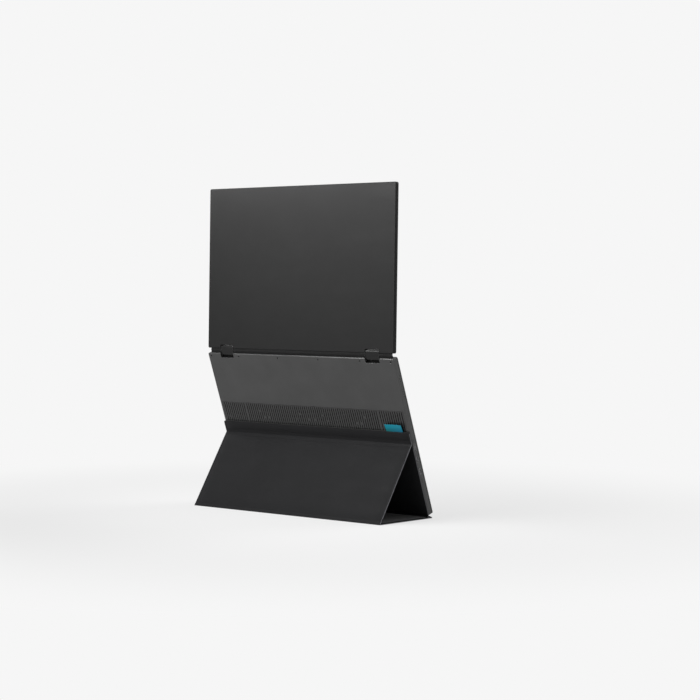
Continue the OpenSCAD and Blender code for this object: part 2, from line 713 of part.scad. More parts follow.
module lid_frame() color([0.12, 0.12, 0.13]) in_lid() screen_frame(lid_t, lid_depth);
module lid_glass() color([0.05, 0.05, 0.06]) in_lid() cover_glass(lid_t);
module lid_lcd() color([0.1, 0.11, 0.13]) in_lid() lcd(lid_t);
module lid_backlight() color("whitesmoke") in_lid() backlight(lid_t);

// Display driver board lying on the back cover
module lid_driver_board() color("darkgreen") in_lid()
    span([-60, -lid_back - 1, 12], [60, -lid_back, 26]);

module upper_bracket_left() color("silver") in_lid() bracket(-1, lid_t/2, lid_back, lid_notch);
module upper_bracket_right() color("silver") in_lid() bracket(1, lid_t/2, lid_back, lid_notch);
module upper_shaft_left() color("lightgray") in_lid() shaft(-1, lid_t/2);
module upper_shaft_right() color("lightgray") in_lid() shaft(1, lid_t/2);

module upper_gap_rib() color([0.08, 0.08, 0.08]) in_lid() gap_rib(lid_t/2, upper_rib_t, upper_swing - 0.3);
module upper_notch_liners() color([0.08, 0.08, 0.08]) in_lid()
    notch_liners(lid_notch, lid_depth, lid_t/2);

// ---- folding cover ------------------------------------------------------

module foot_skin() color([0.17, 0.17, 0.18]) on_table() difference() {
    span([-cover_w/2, nose_y, 0], [cover_w/2, foot_reach - rear_clear, skin_t]);
    bar(cover_w + 2, nose_r + crease_play, nose_y, nose_r);
}

module foot_board() color([0.3, 0.3, 0.3]) on_table()
    span([-board_w/2, board_front, skin_t], [board_w/2, foot_reach - fold_gap, skin_t + board_t]);

module foot_lining() color([0.24, 0.24, 0.25]) on_table()
    span([-cover_w/2 + 1, board_front - 1, skin_t + board_t], [cover_w/2 - 1, foot_reach - fold_gap, cover_t]);

module front_crease() color([0.17, 0.17, 0.18]) on_table() bar(cover_w, nose_r, nose_y, nose_r);
module rear_crease() color([0.17, 0.17, 0.18]) on_table() bar(cover_w, crease_r, foot_reach, crease_r);

// One stiffened panel of the cover from crease to crease, outer side at +y
module cover_skin(from, to) span([-cover_w/2, -crease_r, from], [cover_w/2, crease_r, to]);
module cover_board(from, to) span([-board_w/2, -crease_r - board_t, from], [board_w/2, -crease_r, to]);
module cover_lining(from, to) span([-cover_w/2 + 1, inner_y, from], [cover_w/2 - 1, inner_y + lining_t, to]);

module leg_skin() color([0.17, 0.17, 0.18]) in_leg()
    cover_skin(rear_clear, leg_len - crease_r - crease_play);
module leg_board() color([0.3, 0.3, 0.3]) in_leg() cover_board(fold_gap, leg_len - fold_gap);
module leg_lining() color([0.24, 0.24, 0.25]) in_leg() cover_lining(fold_gap, leg_len - fold_gap);
module ridge_crease() color([0.17, 0.17, 0.18]) in_leg() bar(cover_w, crease_r, 0, leg_len);

// Flat outline of the strip from one height to its free edge, whose two corners are round
module strip_outline(w, from, to) {
    translate([-w/2, from]) square([w, to - from - cover_r]);
    translate([-w/2 + cover_r, from]) square([w - 2*cover_r, to - from]);
    for (x = [-1, 1]) translate([x*(w/2 - cover_r), to - cover_r]) circle(cover_r);
}

module strip_skin() color([0.17, 0.17, 0.18]) in_strip() sheet(-crease_r, crease_r)
    strip_outline(cover_w, crease_r + crease_play, strip_h);
module strip_lining() color([0.24, 0.24, 0.25]) in_strip() sheet(inner_y, inner_y + lining_t)
    strip_outline(cover_w - 2, fold_gap, strip_h - 0.3);

// Places of the magnets along the strip
module at_magnets() for (i = [0:magnet_count - 1])
    translate([(i - (magnet_count - 1)/2)*magnet_pitch, 0, magnet_z]) children();

module strip_board() color([0.3, 0.3, 0.3]) in_strip() difference() {
    cover_board(fold_gap, strip_h - 0.3);
    at_magnets() cube([magnet_len + 0.2, 4*board_t, magnet_h + 0.2], center = true);
}
module strip_magnets() color("silver") in_strip() at_magnets()
    span([-magnet_len/2, -crease_r - board_t, -magnet_h/2], [magnet_len/2, -crease_r, magnet_h/2]);

module pull_tab() color([0.1, 0.45, 0.55]) in_strip()
    translate([tab_inset - panel_w/2, 0, strip_h + (tab_t - crease_r)*sin(tab_lean) + crease_play])
        rotate([-tab_lean, 0, 0])
        span([-tab_w/2, -crease_r, 0], [tab_w/2, -crease_r + tab_t, tab_h]);

rear_shell();
vent_grille();
vent_mesh();
lower_frame();
lower_glass();
lower_lcd();
lower_backlight();
main_board();
heat_spreader();
speaker_left();
speaker_right();
usb_c_port_upper();
usb_c_port_lower();
mini_hdmi_port();
power_switch();
menu_switches();
lower_bracket_left();
lower_bracket_right();
lower_shaft_left();
lower_shaft_right();
rear_screws();
steel_strips();
lower_gap_rib();
lower_notch_liners();
panel_skin();
panel_board();
spine_flap();
hinge_web();
hinge_block_left();
hinge_block_right();
friction_clips_left();
friction_clips_right();
lid_back_cover();
lid_frame();
lid_glass();
lid_lcd();
lid_backlight();
lid_driver_board();
upper_bracket_left();
upper_bracket_right();
upper_shaft_left();
upper_shaft_right();
upper_gap_rib();
upper_notch_liners();
foot_skin();
foot_board();
foot_lining();
front_crease();
rear_crease();
leg_skin();
leg_board();
leg_lining();
ridge_crease();
strip_skin();
strip_board();
strip_lining();
strip_magnets();
pull_tab();
power_button();
menu_rocker();
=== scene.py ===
"""Portable two-panel monitor on its folded cover: the looks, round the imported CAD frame."""

from __future__ import annotations

import logging
import math
from collections.abc import Iterable, Sequence
from dataclasses import dataclass, field
from enum import Enum
from functools import cache, cached_property

import bmesh
import bpy
from mathutils import Matrix, Vector, noise


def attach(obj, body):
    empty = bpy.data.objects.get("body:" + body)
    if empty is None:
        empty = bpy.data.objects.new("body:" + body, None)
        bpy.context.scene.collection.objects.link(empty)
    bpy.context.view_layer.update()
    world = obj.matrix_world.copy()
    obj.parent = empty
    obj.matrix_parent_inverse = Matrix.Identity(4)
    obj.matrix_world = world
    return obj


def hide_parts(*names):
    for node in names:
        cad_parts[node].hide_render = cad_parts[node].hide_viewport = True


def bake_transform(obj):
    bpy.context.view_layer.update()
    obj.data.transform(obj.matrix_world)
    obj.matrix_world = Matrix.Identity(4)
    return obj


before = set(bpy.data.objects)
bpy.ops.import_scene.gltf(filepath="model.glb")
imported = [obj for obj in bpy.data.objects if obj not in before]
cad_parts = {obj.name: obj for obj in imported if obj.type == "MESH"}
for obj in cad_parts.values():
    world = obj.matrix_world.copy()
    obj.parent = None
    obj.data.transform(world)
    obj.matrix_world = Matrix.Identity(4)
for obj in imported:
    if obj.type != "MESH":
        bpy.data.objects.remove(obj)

LOG = logging.getLogger("portable_monitor")
MM = 0.001
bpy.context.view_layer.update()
EPS = 1e-6
NOISE_RANGE = (0.3, 0.7)

Colour = tuple[float, float, float]
Vec3 = tuple[float, float, float]
Socket = bpy.types.NodeSocket
Node = bpy.types.Node
Piece = bpy.types.Object
BMesh = bmesh.types.BMesh
Profile = Sequence[tuple[float, float, float]]


class Body(str, Enum):
    """The bodies that the modelled pieces ride on."""

    BASE = "base_unit"
    FOOT = "foot"
    LEG = "leg"
    STRIP = "strip"


class Slot(str, Enum):
    """The record's material slots of the modelled pieces."""

    CLOTH = "cover_cloth"
    LINING = "cover_lining"
    RIBBON = "ribbon_teal"


# ---- shader graph helpers and shared effects ----------------------------


class Graph:
    """A shader node tree, with short calls for the nodes that are made often."""

    def __init__(self, tree: bpy.types.NodeTree) -> None:
        """Wraps a node tree.

        Args:
            tree: the tree that nodes are added to.
        """
        self.tree = tree

    def node(self, kind: str, **settings: object) -> Node:
        """Adds a node.

        Args:
            kind: the node's type name, without "ShaderNode".
            settings: properties to set on it.

        Returns:
            The new node.
        """
        made = self.tree.nodes.new(f"ShaderNode{kind}" if not kind.startswith("Node") else kind)
        for name, value in settings.items():
            setattr(made, name, value)
        return made

    def put(self, socket: Socket, value: Socket | float | Sequence[float]) -> None:
        """Links a socket to an input, or sets the input's own value.

        Args:
            socket: the input.
            value: another node's output, or a plain value.
        """
        if isinstance(value, Socket):
            self.tree.links.new(value, socket)
        else:
            socket.default_value = value

    def math(self, operation: str, *values: Socket | float, clamp: bool = False) -> Socket:
        """Adds a Math node.

        Args:
            operation: its operation.
            values: its values, as many as it needs.
            clamp: whether the result is kept from 0 to 1.

        Returns:
            Its output.
        """
        made = self.node("Math", operation=operation, use_clamp=clamp)
        for socket, value in zip(made.inputs, values):
            self.put(socket, value)
        return made.outputs[0]

    def spread(
        self,
        value: Socket,
        source: tuple[float, float],
        target: tuple[float, float] = (0.0, 1.0),
        kind: str = "LINEAR",
    ) -> Socket:
        """Maps a value from one range to another, clamped.

        Args:
            value: what is mapped.
            source: the range that it has.
            target: the range that it gets.
            kind: the interpolation.

        Returns:
            The mapped value.
        """
        made = self.node("MapRange", interpolation_type=kind, clamp=True)
        self.feed(made, Value=value, From_Min=source[0], From_Max=source[1])
        self.feed(made, To_Min=target[0], To_Max=target[1])
        return made.outputs["Result"]

    def mix(
        self, share: Socket | float, first: Socket | Colour, second: Socket | Colour
    ) -> Socket:
        """Mixes two colours.

        Args:
            share: how much of the second one, from 0 to 1.
            first: the first colour.
            second: the second colour.

        Returns:
            The mixed colour.
        """
        made = self.node("Mix", data_type="RGBA")
        colours = [s for s in made.inputs if s.type == "RGBA"]
        self.put(made.inputs[0], share)
        for socket, value in zip(colours, (first, second)):
            self.put(socket, value if isinstance(value, Socket) else (*value, 1.0))
        return next(s for s in made.outputs if s.type == "RGBA")

    def noise(self, vector: Socket, scale: Socket | float, **others: float) -> Socket:
        """Adds a noise.

        Args:
            vector: its coordinates.
            scale: its scale.
            others: its other inputs, such as Detail.

        Returns:
            Its value, from about 0 to 1.
        """
        made = self.node("TexNoise")
        self.feed(made, Vector=vector, Scale=scale, **others)
        return made.outputs[0]

    def mapped(self, vector: Socket, scale: Vec3, turn: Vec3 = (0.0, 0.0, 0.0)) -> Socket:
        """Turns and scales coordinates.

        Args:
            vector: the coordinates.
            scale: the scale on each axis.
            turn: the turn about each axis.

        Returns:
            The new coordinates.
        """
        made = self.node("Mapping", vector_type="POINT")
        self.feed(made, Vector=vector, Rotation=turn, Scale=scale)
        return made.outputs[0]

    def parts(self, vector: Socket) -> tuple[Socket, Socket, Socket]:
        """Takes a vector apart.

        Args:
            vector: the vector.

        Returns:
            Its X, Y and Z.
        """
        made = self.node("SeparateXYZ")
        self.feed(made, Vector=vector)
        return tuple(made.outputs)

    def bump(
        self, height: Socket, distance: float, strength: float, normal: Socket | None = None
    ) -> Socket:
        """Adds a bump.

        Args:
            height: its height, from about 0 to 1.
            distance: what a height of 1 is, in metres.
            strength: its strength.
            normal: the normal that it stands on.

        Returns:
            The new normal.
        """
        made = self.node("Bump")
        self.feed(made, Height=height, Distance=distance, Strength=strength)
        if normal is not None:
            self.feed(made, Normal=normal)
        return made.outputs[0]

    def dot(self, first: Socket, second: Socket | Sequence[float]) -> Socket:
        """Gives the dot product of two vectors.

        Args:
            first: one vector.
            second: the other one.

        Returns:
            Its value.
        """
        made = self.node("VectorMath", operation="DOT_PRODUCT")
        for socket, value in zip(made.inputs, (first, second)):
            self.put(socket, value)
        return made.outputs["Value"]

    def weighed(self, first: Socket, second: Socket, share: float) -> Socket:
        """Adds two values up, with share of the first one and the rest of the second one."""
        rest = self.math("MULTIPLY", second, 1 - share)
        return self.math("ADD", self.math("MULTIPLY", first, share), rest)

    def feed(self, node: Node, **inputs: Socket | float | Sequence[float]) -> None:
        """Links or sets several inputs of a node.

        Args:
            node: the node.
            inputs: its inputs, with _ for each space in their names.
        """
        for name, value in inputs.items():
            self.put(node.inputs[name.replace("_", " ")], value)

    def effect(self, name: str, **inputs: Socket | float) -> Node:
        """Places a shared effect.

        Args:
            name: the effect's name.
            inputs: its inputs, with _ for each space in their names.

        Returns:
            The group node.
        """
        made = self.node("Group", node_tree=Effects.get(name))
        self.feed(made, **inputs)
        return made


class Surface(Graph):
    """A material's graph, with its Principled shader and its Object coordinates."""

    def __init__(self, tree: bpy.types.NodeTree) -> None:
        """Empties a material's tree and starts it with its shader.

        Args:
            tree: the material's tree.
        """
        super().__init__(tree)
        tree.nodes.clear()
        self.shader = self.node("BsdfPrincipled")
        self.place = self.node("TexCoord").outputs["Object"]
        self.feed(self.node("OutputMaterial"), Surface=self.shader.outputs[0])


class Effects:
    """Shader node groups that several finishes share, each built once."""

    FINE_SHARE = 0.35
    MOTTLE_SHARE = 0.012
    WEAR_AND_HIGHLIGHT_SCALE = 260.0
    EDGE_COSINES = (0.97, 0.75)
    MARK_SCALE = 9.0
    STREAK_SCALES = (14.0, 14.0, 90.0)
    MARK_RANGE = (0.16, 0.42)
    CROWN_WIDTH = 0.28
    CROWN_SHARE = 0.7
    RIPPLE_SHARE = 0.4
    THREAD_LIFT = (0.6, 0.4)
    WEAVE_HEIGHT = 0.6
    built: dict[str, bpy.types.NodeTree] = {}

    @classmethod
    def get(cls, name: str) -> bpy.types.NodeTree:
        """Finds a named effect, and builds it the first time.

        Args:
            name: its name.

        Returns:
            The group.
        """
        if name not in cls.built:
            cls.built[name] = getattr(cls, f"make_{name}")()
        return cls.built[name]

    @staticmethod
    def start(
        name: str, inputs: dict[str, tuple[str, float]], outputs: dict[str, str]
    ) -> tuple[Graph, Node, Node]:
        """Makes an empty node group with its sockets.

        Args:
            name: its name.
            inputs: each input's type and first value.
            outputs: each output's type.

        Returns:
            Its graph, its input node and its output node.
        """
        tree = bpy.data.node_groups.new(name, "ShaderNodeTree")
        new = tree.interface.new_socket
        for label, (kind, value) in inputs.items():
            made = new(name=label, in_out="INPUT", socket_type=f"NodeSocket{kind}")
            if kind == "Float":
                made.default_value = value
        for label, kind in outputs.items():
            new(name=label, in_out="OUTPUT", socket_type=f"NodeSocket{kind}")
        graph = Graph(tree)
        return graph, graph.node("NodeGroupInput"), graph.node("NodeGroupOutput")

    @classmethod
    def make_grain(cls) -> bpy.types.NodeTree:
        """Builds the fine grain of blasted metal and moulded plastic, with a broad mottle.

        Returns:
            The group, with a tone and a height.
        """
        graph, given, made = cls.start(
            "surface_grain",
            {"Vector": ("Vector", 0.0), "Scale": ("Float", 2500.0)},
            {"Tone": "Float", "Height": "Float"},
        )
        vector, scale = given.outputs["Vector"], given.outputs["Scale"]
        fine = graph.noise(vector, scale, Detail=3.0, Roughness=0.6)
        mottle = graph.math("MULTIPLY", scale, cls.MOTTLE_SHARE)
        broad = graph.noise(vector, mottle, Detail=3.0, Roughness=0.55)
        tone = graph.spread(graph.weighed(fine, broad, cls.FINE_SHARE), NOISE_RANGE)
        graph.feed(made, Tone=tone, Height=fine)
        return graph.tree

    @classmethod
    def make_edges(cls) -> bpy.types.NodeTree:
        """Builds rounded-looking edges, with a broken line of wear along them that also serves
        as a painted highlight.

        Returns:
            The group, with a mask of the worn edges, which also carries a painted highlight, and
            the softened normal.
        """
        graph, given, made = cls.start(
            "edge_wear_and_highlight",
            {"Vector": ("Vector", 0.0), "Radius": ("Float", 0.3 * MM), "Amount": ("Float", 0.5)},
            {"Mask": "Float", "Normal": "Vector"},
        )
        soft = graph.node("Bevel", samples=4)
        graph.feed(soft, Radius=given.outputs["Radius"])
        true = graph.node("NewGeometry").outputs["True Normal"]
        edge = graph.spread(graph.dot(soft.outputs[0], true), cls.EDGE_COSINES)
        patches = graph.noise(given.outputs["Vector"], cls.WEAR_AND_HIGHLIGHT_SCALE, Detail=4.0, Roughness=0.6)
        broken = graph.spread(patches, (0.35, 0.7), (0.25, 1.0))
        mask = graph.math("MULTIPLY", edge, broken)
        mask = graph.math("MULTIPLY", mask, given.outputs["Amount"], clamp=True)
        graph.feed(made, Mask=mask, Normal=soft.outputs[0])
        return graph.tree

    @classmethod
    def make_smudge(cls) -> bpy.types.NodeTree:
        """Builds the faint marks of handling, as a change of gloss.

        Returns:
            The group, with a mask.
        """
        graph, given, made = cls.start(
            "handling_marks",
            {"Vector": ("Vector", 0.0), "Amount": ("Float", 0.5)},
            {"Mask": "Float"},
        )
        vector = given.outputs["Vector"]
        cloud = graph.noise(vector, cls.MARK_SCALE, Detail=4.0, Roughness=0.6, Distortion=0.8)
        drawn = graph.mapped(vector, cls.STREAK_SCALES)
        streak = graph.noise(drawn, 1.0, Detail=3.0, Roughness=0.6, Distortion=0.4)
        both = graph.math("MULTIPLY", cloud, streak)
        mask = graph.spread(both, cls.MARK_RANGE, kind="SMOOTHSTEP")
        mask = graph.math("MULTIPLY", mask, given.outputs["Amount"], clamp=True)
        graph.feed(made, Mask=mask)
        return graph.tree

    @classmethod
    def make_pebble(cls) -> bpy.types.NodeTree:
        """Builds the small pebbles of a coated cloth.

        Returns:
            The group, with a height and a mask of the creases between the pebbles.
        """
        graph, given, made = cls.start(
            "pebble_grain",
            {"Vector": ("Vector", 0.0), "Scale": ("Float", 1300.0)},
            {"Height": "Float", "Creases": "Float"},
        )
        vector, scale = given.outputs["Vector"], given.outputs["Scale"]
        cells = graph.node("TexVoronoi", feature="DISTANCE_TO_EDGE")
        graph.feed(cells, Vector=vector, Scale=scale)
        edge = (0.0, cls.CROWN_WIDTH)
        crown = graph.spread(cells.outputs["Distance"], edge, kind="SMOOTHSTEP")
        ripple = graph.noise(vector, graph.math("MULTIPLY", scale, cls.RIPPLE_SHARE))
        height = graph.weighed(crown, ripple, cls.CROWN_SHARE)
        graph.feed(made, Height=height, Creases=graph.math("SUBTRACT", 1.0, crown))
        return graph.tree

    @classmethod
    def make_weave(cls) -> bpy.types.NodeTree:
        """Builds a plain weave on coordinates whose X and Y count threads.

        Returns:
            The group, with a height, and a mask of the threads that run along Y.
        """
        graph, given, made = cls.start(
            "plain_weave",
            {"Vector": ("Vector", 0.0)},
            {"Height": "Float", "Warp": "Float"},
        )
        across, along, _ = graph.parts(given.outputs["Vector"])
        cells = [graph.math("FLOOR", value) for value in (across, along)]
        over = graph.math("PINGPONG", graph.math("ADD", *cells), 1.0)
        crowns = []
        for value, share in ((across, over), (along, graph.math("SUBTRACT", 1.0, over))):
            wave = graph.math("SINE", graph.math("MULTIPLY", value, math.pi))
            lift = graph.math("MULTIPLY_ADD", share, *cls.THREAD_LIFT)
            crowns.append(graph.math("MULTIPLY", graph.math("ABSOLUTE", wave), lift))
        height = graph.math("MULTIPLY", graph.math("ADD", *crowns), cls.WEAVE_HEIGHT)
        graph.feed(made, Height=height, Warp=over)
        return graph.tree


# ---- finishes -----------------------------------------------------------


@dataclass(frozen=True)
class Finish:
    """A procedural material. Each kind of finish says how its shader is fed."""

    name: str
    colour: Colour
    roughness: float = 0.5
    specular: float = 0.5
    metallic: float = 0.0

    @cache
    def material(self) -> bpy.types.Material:
        """Builds the material the first time that it is asked for.

        Returns:
            The material.
        """
        made = bpy.data.materials.new(f"{self.name}_finish")
        made.use_nodes = True
        made.diffuse_color = (*self.colour, 1.0)
        graph = Surface(made.node_tree)
        graph.shader.inputs["Specular IOR Level"].default_value = self.specular
        graph.shader.inputs["Metallic"].default_value = self.metallic
        self.shade(graph)
        return made

    def shade(self, graph: Surface) -> None:
        """Feeds the shader.

        Args:
            graph: the material's graph.
        """
        raise NotImplementedError

    def toned(self, factor: float) -> Colour:
        """Returns the colour, lighter or darker by a factor."""
        return tuple(min(1.0, channel * factor) for channel in self.colour)

    def tones(self, graph: Surface, share: Socket, low: float, high: float) -> Socket:
        """Returns the colour, from one factor to another as share goes from 0 to 1."""
        return graph.mix(share, self.toned(low), self.toned(high))

    def matt(self, graph: Surface, share: Socket, low: float, high: float) -> Socket:
        """Returns the roughness, with low to high added as share goes from 0 to 1."""
        return graph.spread(share, (0.0, 1.0), (self.roughness + low, self.roughness + high))


@dataclass(frozen=True)
class Coated(Finish):
    """A blasted, anodised, painted or moulded surface with fine grain, marks, and worn edges
    whose lighter colour is partly a painted highlight.
    """

    grain: float = 2500.0
    depth: float = 0.012 * MM
    spread: float = 0.08
    marks: float = 0.08
    worn_and_lit_colour: Colour = (0.35, 0.35, 0.36)
    wear_and_highlight: float = 0.25
    radius: float = 0.25 * MM
    stretch: Vec3 = (1.0, 1.0, 1.0)

    def shade(self, graph: Surface) -> None:
        """Feeds the shader with the grain, the marks, and the worn edges with their painted
        highlight.

        Args:
            graph: the material's graph.
        """
        along = graph.mapped(graph.place, self.stretch)
        grain = graph.effect("grain", Vector=along, Scale=self.grain)
        marks = graph.effect("smudge", Vector=graph.place, Amount=1.0)
        edges = graph.effect("edges", Vector=graph.place, Radius=self.radius, Amount=self.wear_and_highlight)
        tone = grain.outputs["Tone"]
        body = self.tones(graph, tone, 1 - self.spread, 1 + self.spread)
        rough = self.matt(graph, tone, -0.03, 0.03)
        gloss = graph.math("MULTIPLY", marks.outputs["Mask"], self.marks)
        # the edge colour is real wear, and where it is strong it is a painted highlight
        graph.feed(
            graph.shader,
            Base_Color=graph.mix(edges.outputs["Mask"], body, self.worn_and_lit_colour),
            Roughness=graph.math("SUBTRACT", rough, gloss),
            Normal=graph.bump(grain.outputs["Height"], self.depth, 0.6, edges.outputs["Normal"]),
        )


@dataclass(frozen=True)
class Grille(Coated):
    """The vent's coat, with painted shade on the slot walls below the grille's face."""

    sink: float = 0.3 * MM
    soft: float = 0.05 * MM

    def shade(self, graph: Surface) -> None:
        """Feeds the shader with the coat, and paints shade on it below the grille's face.

        Args:
            graph: the material's graph.
        """
        super().shade(graph)
        coat = graph.shader.inputs["Base Color"].links[0].from_socket
        face = Stand().base
        inward = face.matrix.to_3x3().col[1]
        surface = inward.dot(face.along(0.0)) - self.sink
        edge = (surface - 2 * self.soft, surface - self.soft / 2)
        # painted shade: below the grille's face the coat turns almost black, as if no light
        # reached into the slots
        inside = graph.spread(graph.dot(graph.place, inward), edge, (1.0, 0.0))
        graph.feed(graph.shader, Base_Color=graph.mix(inside, coat, self.toned(0.01)))


@dataclass(frozen=True)
class CoverGlass(Finish):
    """Cover glass over a dark display: a dark layer under clear gloss, and a printed rim."""

    cloud: float = 5.0
    half_width: float = 172.0 * MM
    print_colour: Colour = (0.004, 0.004, 0.005)

    def shade(self, graph: Surface) -> None:
        """Feeds the shader with the printed rim, the display's tone and faint wipe marks.

        Args:
            graph: the material's graph.
        """
        across = graph.math("ABSOLUTE", graph.parts(graph.place)[0])
        inside = graph.math("LESS_THAN", across, self.half_width)
        tone = self.tones(graph, graph.noise(graph.place, self.cloud), 0.9, 1.1)
        marks = graph.effect("smudge", Vector=graph.place, Amount=1.0).outputs["Mask"]
        graph.feed(
            graph.shader,
            Base_Color=graph.mix(inside, self.print_colour, tone),
            Roughness=self.matt(graph, marks, 0.0, 0.06),
            Coat_Weight=graph.spread(marks, (0.0, 1.0), (1.0, 0.9)),
        )
        graph.shader.inputs["Coat Roughness"].default_value = 0.03
        graph.shader.inputs["Coat IOR"].default_value = 1.5


@dataclass(frozen=True)
class Layer(Finish):
    """A display layer with a very fine grid of cells."""

    cell: float = 0.9 * MM

    def shade(self, graph: Surface) -> None:
        """Feeds the shader with the grid.

        Args:
            graph: the material's graph.
        """
        threads = graph.mapped(graph.place, (1 / self.cell,) * 3, (math.pi / 2, 0, 0))
        grid = graph.effect("weave", Vector=threads).outputs["Height"]
        graph.feed(
            graph.shader,
            Base_Color=self.tones(graph, grid, 0.85, 1.1),
            Roughness=self.matt(graph, grid, 0.0, 0.1),
            Normal=graph.bump(grid, 0.01 * MM, strength=0.4),
        )


@dataclass(frozen=True)
class Circuit(Finish):
    """Solder mask over copper tracks, with vias."""

    copper: Colour = (0.05, 0.16, 0.07)
    pad: Colour = (0.55, 0.42, 0.2)
    block_scale: float = 240.0
    via_scale: float = 420.0
    track_pitch: float = 0.12
    track_width: float = 0.045
    via_width: float = 0.16

    def shade(self, graph: Surface) -> None:
        """Feeds the shader with the tracks and vias.

        Args:
            graph: the material's graph.
        """
        blocks = graph.node("TexVoronoi", distance="CHEBYCHEV", feature="F1")
        graph.feed(blocks, Vector=graph.place, Scale=self.block_scale)
        lines = graph.math("PINGPONG", blocks.outputs["Distance"], self.track_pitch)
        tracks = graph.math("LESS_THAN", lines, self.track_width)
        vias = graph.node("TexVoronoi", feature="F1")
        graph.feed(vias, Vector=graph.place, Scale=self.via_scale)
        holes = graph.math("LESS_THAN", vias.outputs["Distance"], self.via_width)
        mask = graph.mix(tracks, self.colour, self.copper)
        height = graph.math("ADD", tracks, holes)
        graph.feed(
            graph.shader,
            Base_Color=graph.mix(holes, mask, self.pad),
            Roughness=self.matt(graph, height, 0.0, -0.1),
            Normal=graph.bump(height, 0.03 * MM, strength=0.6),
        )


@dataclass(frozen=True)
class Cloth(Finish):
    """Coated cloth with small pebbles, a little sheen and slight changes of tone."""

    pebbles: float = 1300.0
    depth: float = 0.05 * MM
    spread: float = 0.1
    cloud: float = 16.0
    crease_shade_share: float = 0.5
    crease_shade_tone: float = 0.55
    gloss: float = 0.06
    sheen: float = 0.05
    edge_highlight_band: tuple[float, float] = (179.5 * MM, 180.3 * MM)
    edge_highlight_tone: float = 12.0

    def shade(self, graph: Surface) -> None:
        """Feeds the shader with the pebbles, the tone, painted shade in the pebbles' creases and
        a painted highlight along the side edges.

        Args:
            graph: the material's graph.
        """
        pebble = graph.effect("pebble", Vector=graph.place, Scale=self.pebbles)
        height, creases = pebble.outputs["Height"], pebble.outputs["Creases"]
        cloud = graph.noise(graph.place, self.cloud, Detail=4.0, Roughness=0.6)
        cloud = graph.spread(cloud, NOISE_RANGE)
        tone = self.tones(graph, cloud, 1 - self.spread, 1 + self.spread)
        # painted shade: the creases between the pebbles are darkened
        painted_crease_shade = graph.math("MULTIPLY", creases, self.crease_shade_share)
        body = graph.mix(painted_crease_shade, tone, self.toned(self.crease_shade_tone))
        # painted highlight: the outermost millimetre of each side edge is toned far lighter,
        # like an edge catching light
        across = graph.math("ABSOLUTE", graph.parts(graph.place)[0])
        side = graph.spread(across, self.edge_highlight_band, kind="SMOOTHSTEP")
        rough = self.matt(graph, height, 0.08, -0.04)
        marks = graph.effect("smudge", Vector=graph.place, Amount=1.0).outputs["Mask"]
        graph.feed(
            graph.shader,
            Base_Color=graph.mix(side, body, self.toned(self.edge_highlight_tone)),
            Roughness=graph.math("SUBTRACT", rough, graph.math("MULTIPLY", marks, self.gloss)),
            Normal=graph.bump(height, self.depth, strength=0.5),
        )
        graph.shader.inputs["Sheen Weight"].default_value = self.sheen
        graph.shader.inputs["Sheen Roughness"].default_value = 0.45


@dataclass(frozen=True)
class Nap(Finish):
    """Brushed microfibre: short fibres that lie in drifts."""

    fibre: float = 5200.0
    combed: Vec3 = (1.0, 0.35, 0.35)
    drift: float = 38.0
    drift_share: float = 0.6
    sheen: float = 0.25

    def shade(self, graph: Surface) -> None:
        """Feeds the shader with the fibres and their drifts.

        Args:
            graph: the material's graph.
        """
        drift = graph.noise(graph.place, self.drift, Detail=3.0, Roughness=0.6, Distortion=1.2)
        hair = graph.noise(graph.mapped(graph.place, self.combed), self.fibre, Roughness=0.6)
        tone = graph.spread(graph.weighed(drift, hair, self.drift_share), (0.35, 0.65))
        graph.feed(
            graph.shader,
            Base_Color=self.tones(graph, tone, 0.8, 1.2),
            Roughness=self.matt(graph, graph.spread(hair, NOISE_RANGE), -0.05, 0.05),
            Normal=graph.bump(hair, 0.04 * MM, strength=0.5),
        )
        graph.shader.inputs["Sheen Weight"].default_value = self.sheen
        graph.shader.inputs["Sheen Roughness"].default_value = 0.5


@dataclass(frozen=True)
class RibbonCloth(Finish):
    """Woven satin ribbon on its own UV map, whose colour runs from one tone to another."""

    second: Colour = (0.018, 0.23, 0.32)
    cloud: Vec3 = (90.0, 60.0, 1.0)
    cloud_share: float = 0.2
    low: tuple[Colour, Colour] = ((0.008, 0.13, 0.1), (0.006, 0.11, 0.24))
    thread: float = 0.4 * MM
    run_out: float = 30.0 * MM
    dark_end_reach: float = 9.0 * MM
    middle: float = 16.0 * MM
    selvedge: tuple[float, float] = (14.8 * MM, 15.4 * MM)

    def shade(self, graph: Surface) -> None:
        """Feeds the shader with the threads, the run of colour, its darker sewn end and the
        selvedges.

        Args:
            graph: the material's graph.
        """
        uv = graph.node("UVMap", uv_map="ribbon").outputs[0]
        across, along, _ = graph.parts(uv)
        threads = graph.mapped(uv, (1 / self.thread, 1 / (self.thread * 1.5), 1))
        weave = graph.effect("weave", Vector=threads)
        cloud = graph.noise(graph.mapped(uv, self.cloud), 1.0, Distortion=0.6)
        cloud = graph.math("MULTIPLY", cloud, self.cloud_share)
        falling = graph.spread(across, (0.0, self.run_out), (1.0 - self.cloud_share, 0.0))
        run = graph.math("ADD", falling, cloud, clamp=True)
        tone = graph.mix(run, self.colour, self.second)
        # darker and greener towards the sewn end
        depth = graph.spread(along, (0.0, self.dark_end_reach), (1.0, 0.0), "SMOOTHSTEP")
        tone = graph.mix(depth, tone, graph.mix(run, *self.low))
        out = graph.math("ABSOLUTE", graph.math("SUBTRACT", across, self.middle))
        tone = graph.mix(graph.spread(out, self.selvedge, (0.0, 0.5)), tone, self.toned(0.5))
        warp = graph.math("MULTIPLY", weave.outputs["Warp"], 0.25)
        height = weave.outputs["Height"]
        graph.feed(
            graph.shader,
            Base_Color=graph.mix(warp, tone, self.toned(1.3)),
            Roughness=self.matt(graph, height, 0.1, 0.0),
            Normal=graph.bump(height, 0.08 * MM, strength=0.6),
        )
        graph.shader.inputs["Sheen Weight"].default_value = 0.03


def grey(value: float) -> Colour:
    """Returns a grey of that linear value."""
    return (value, value, value)


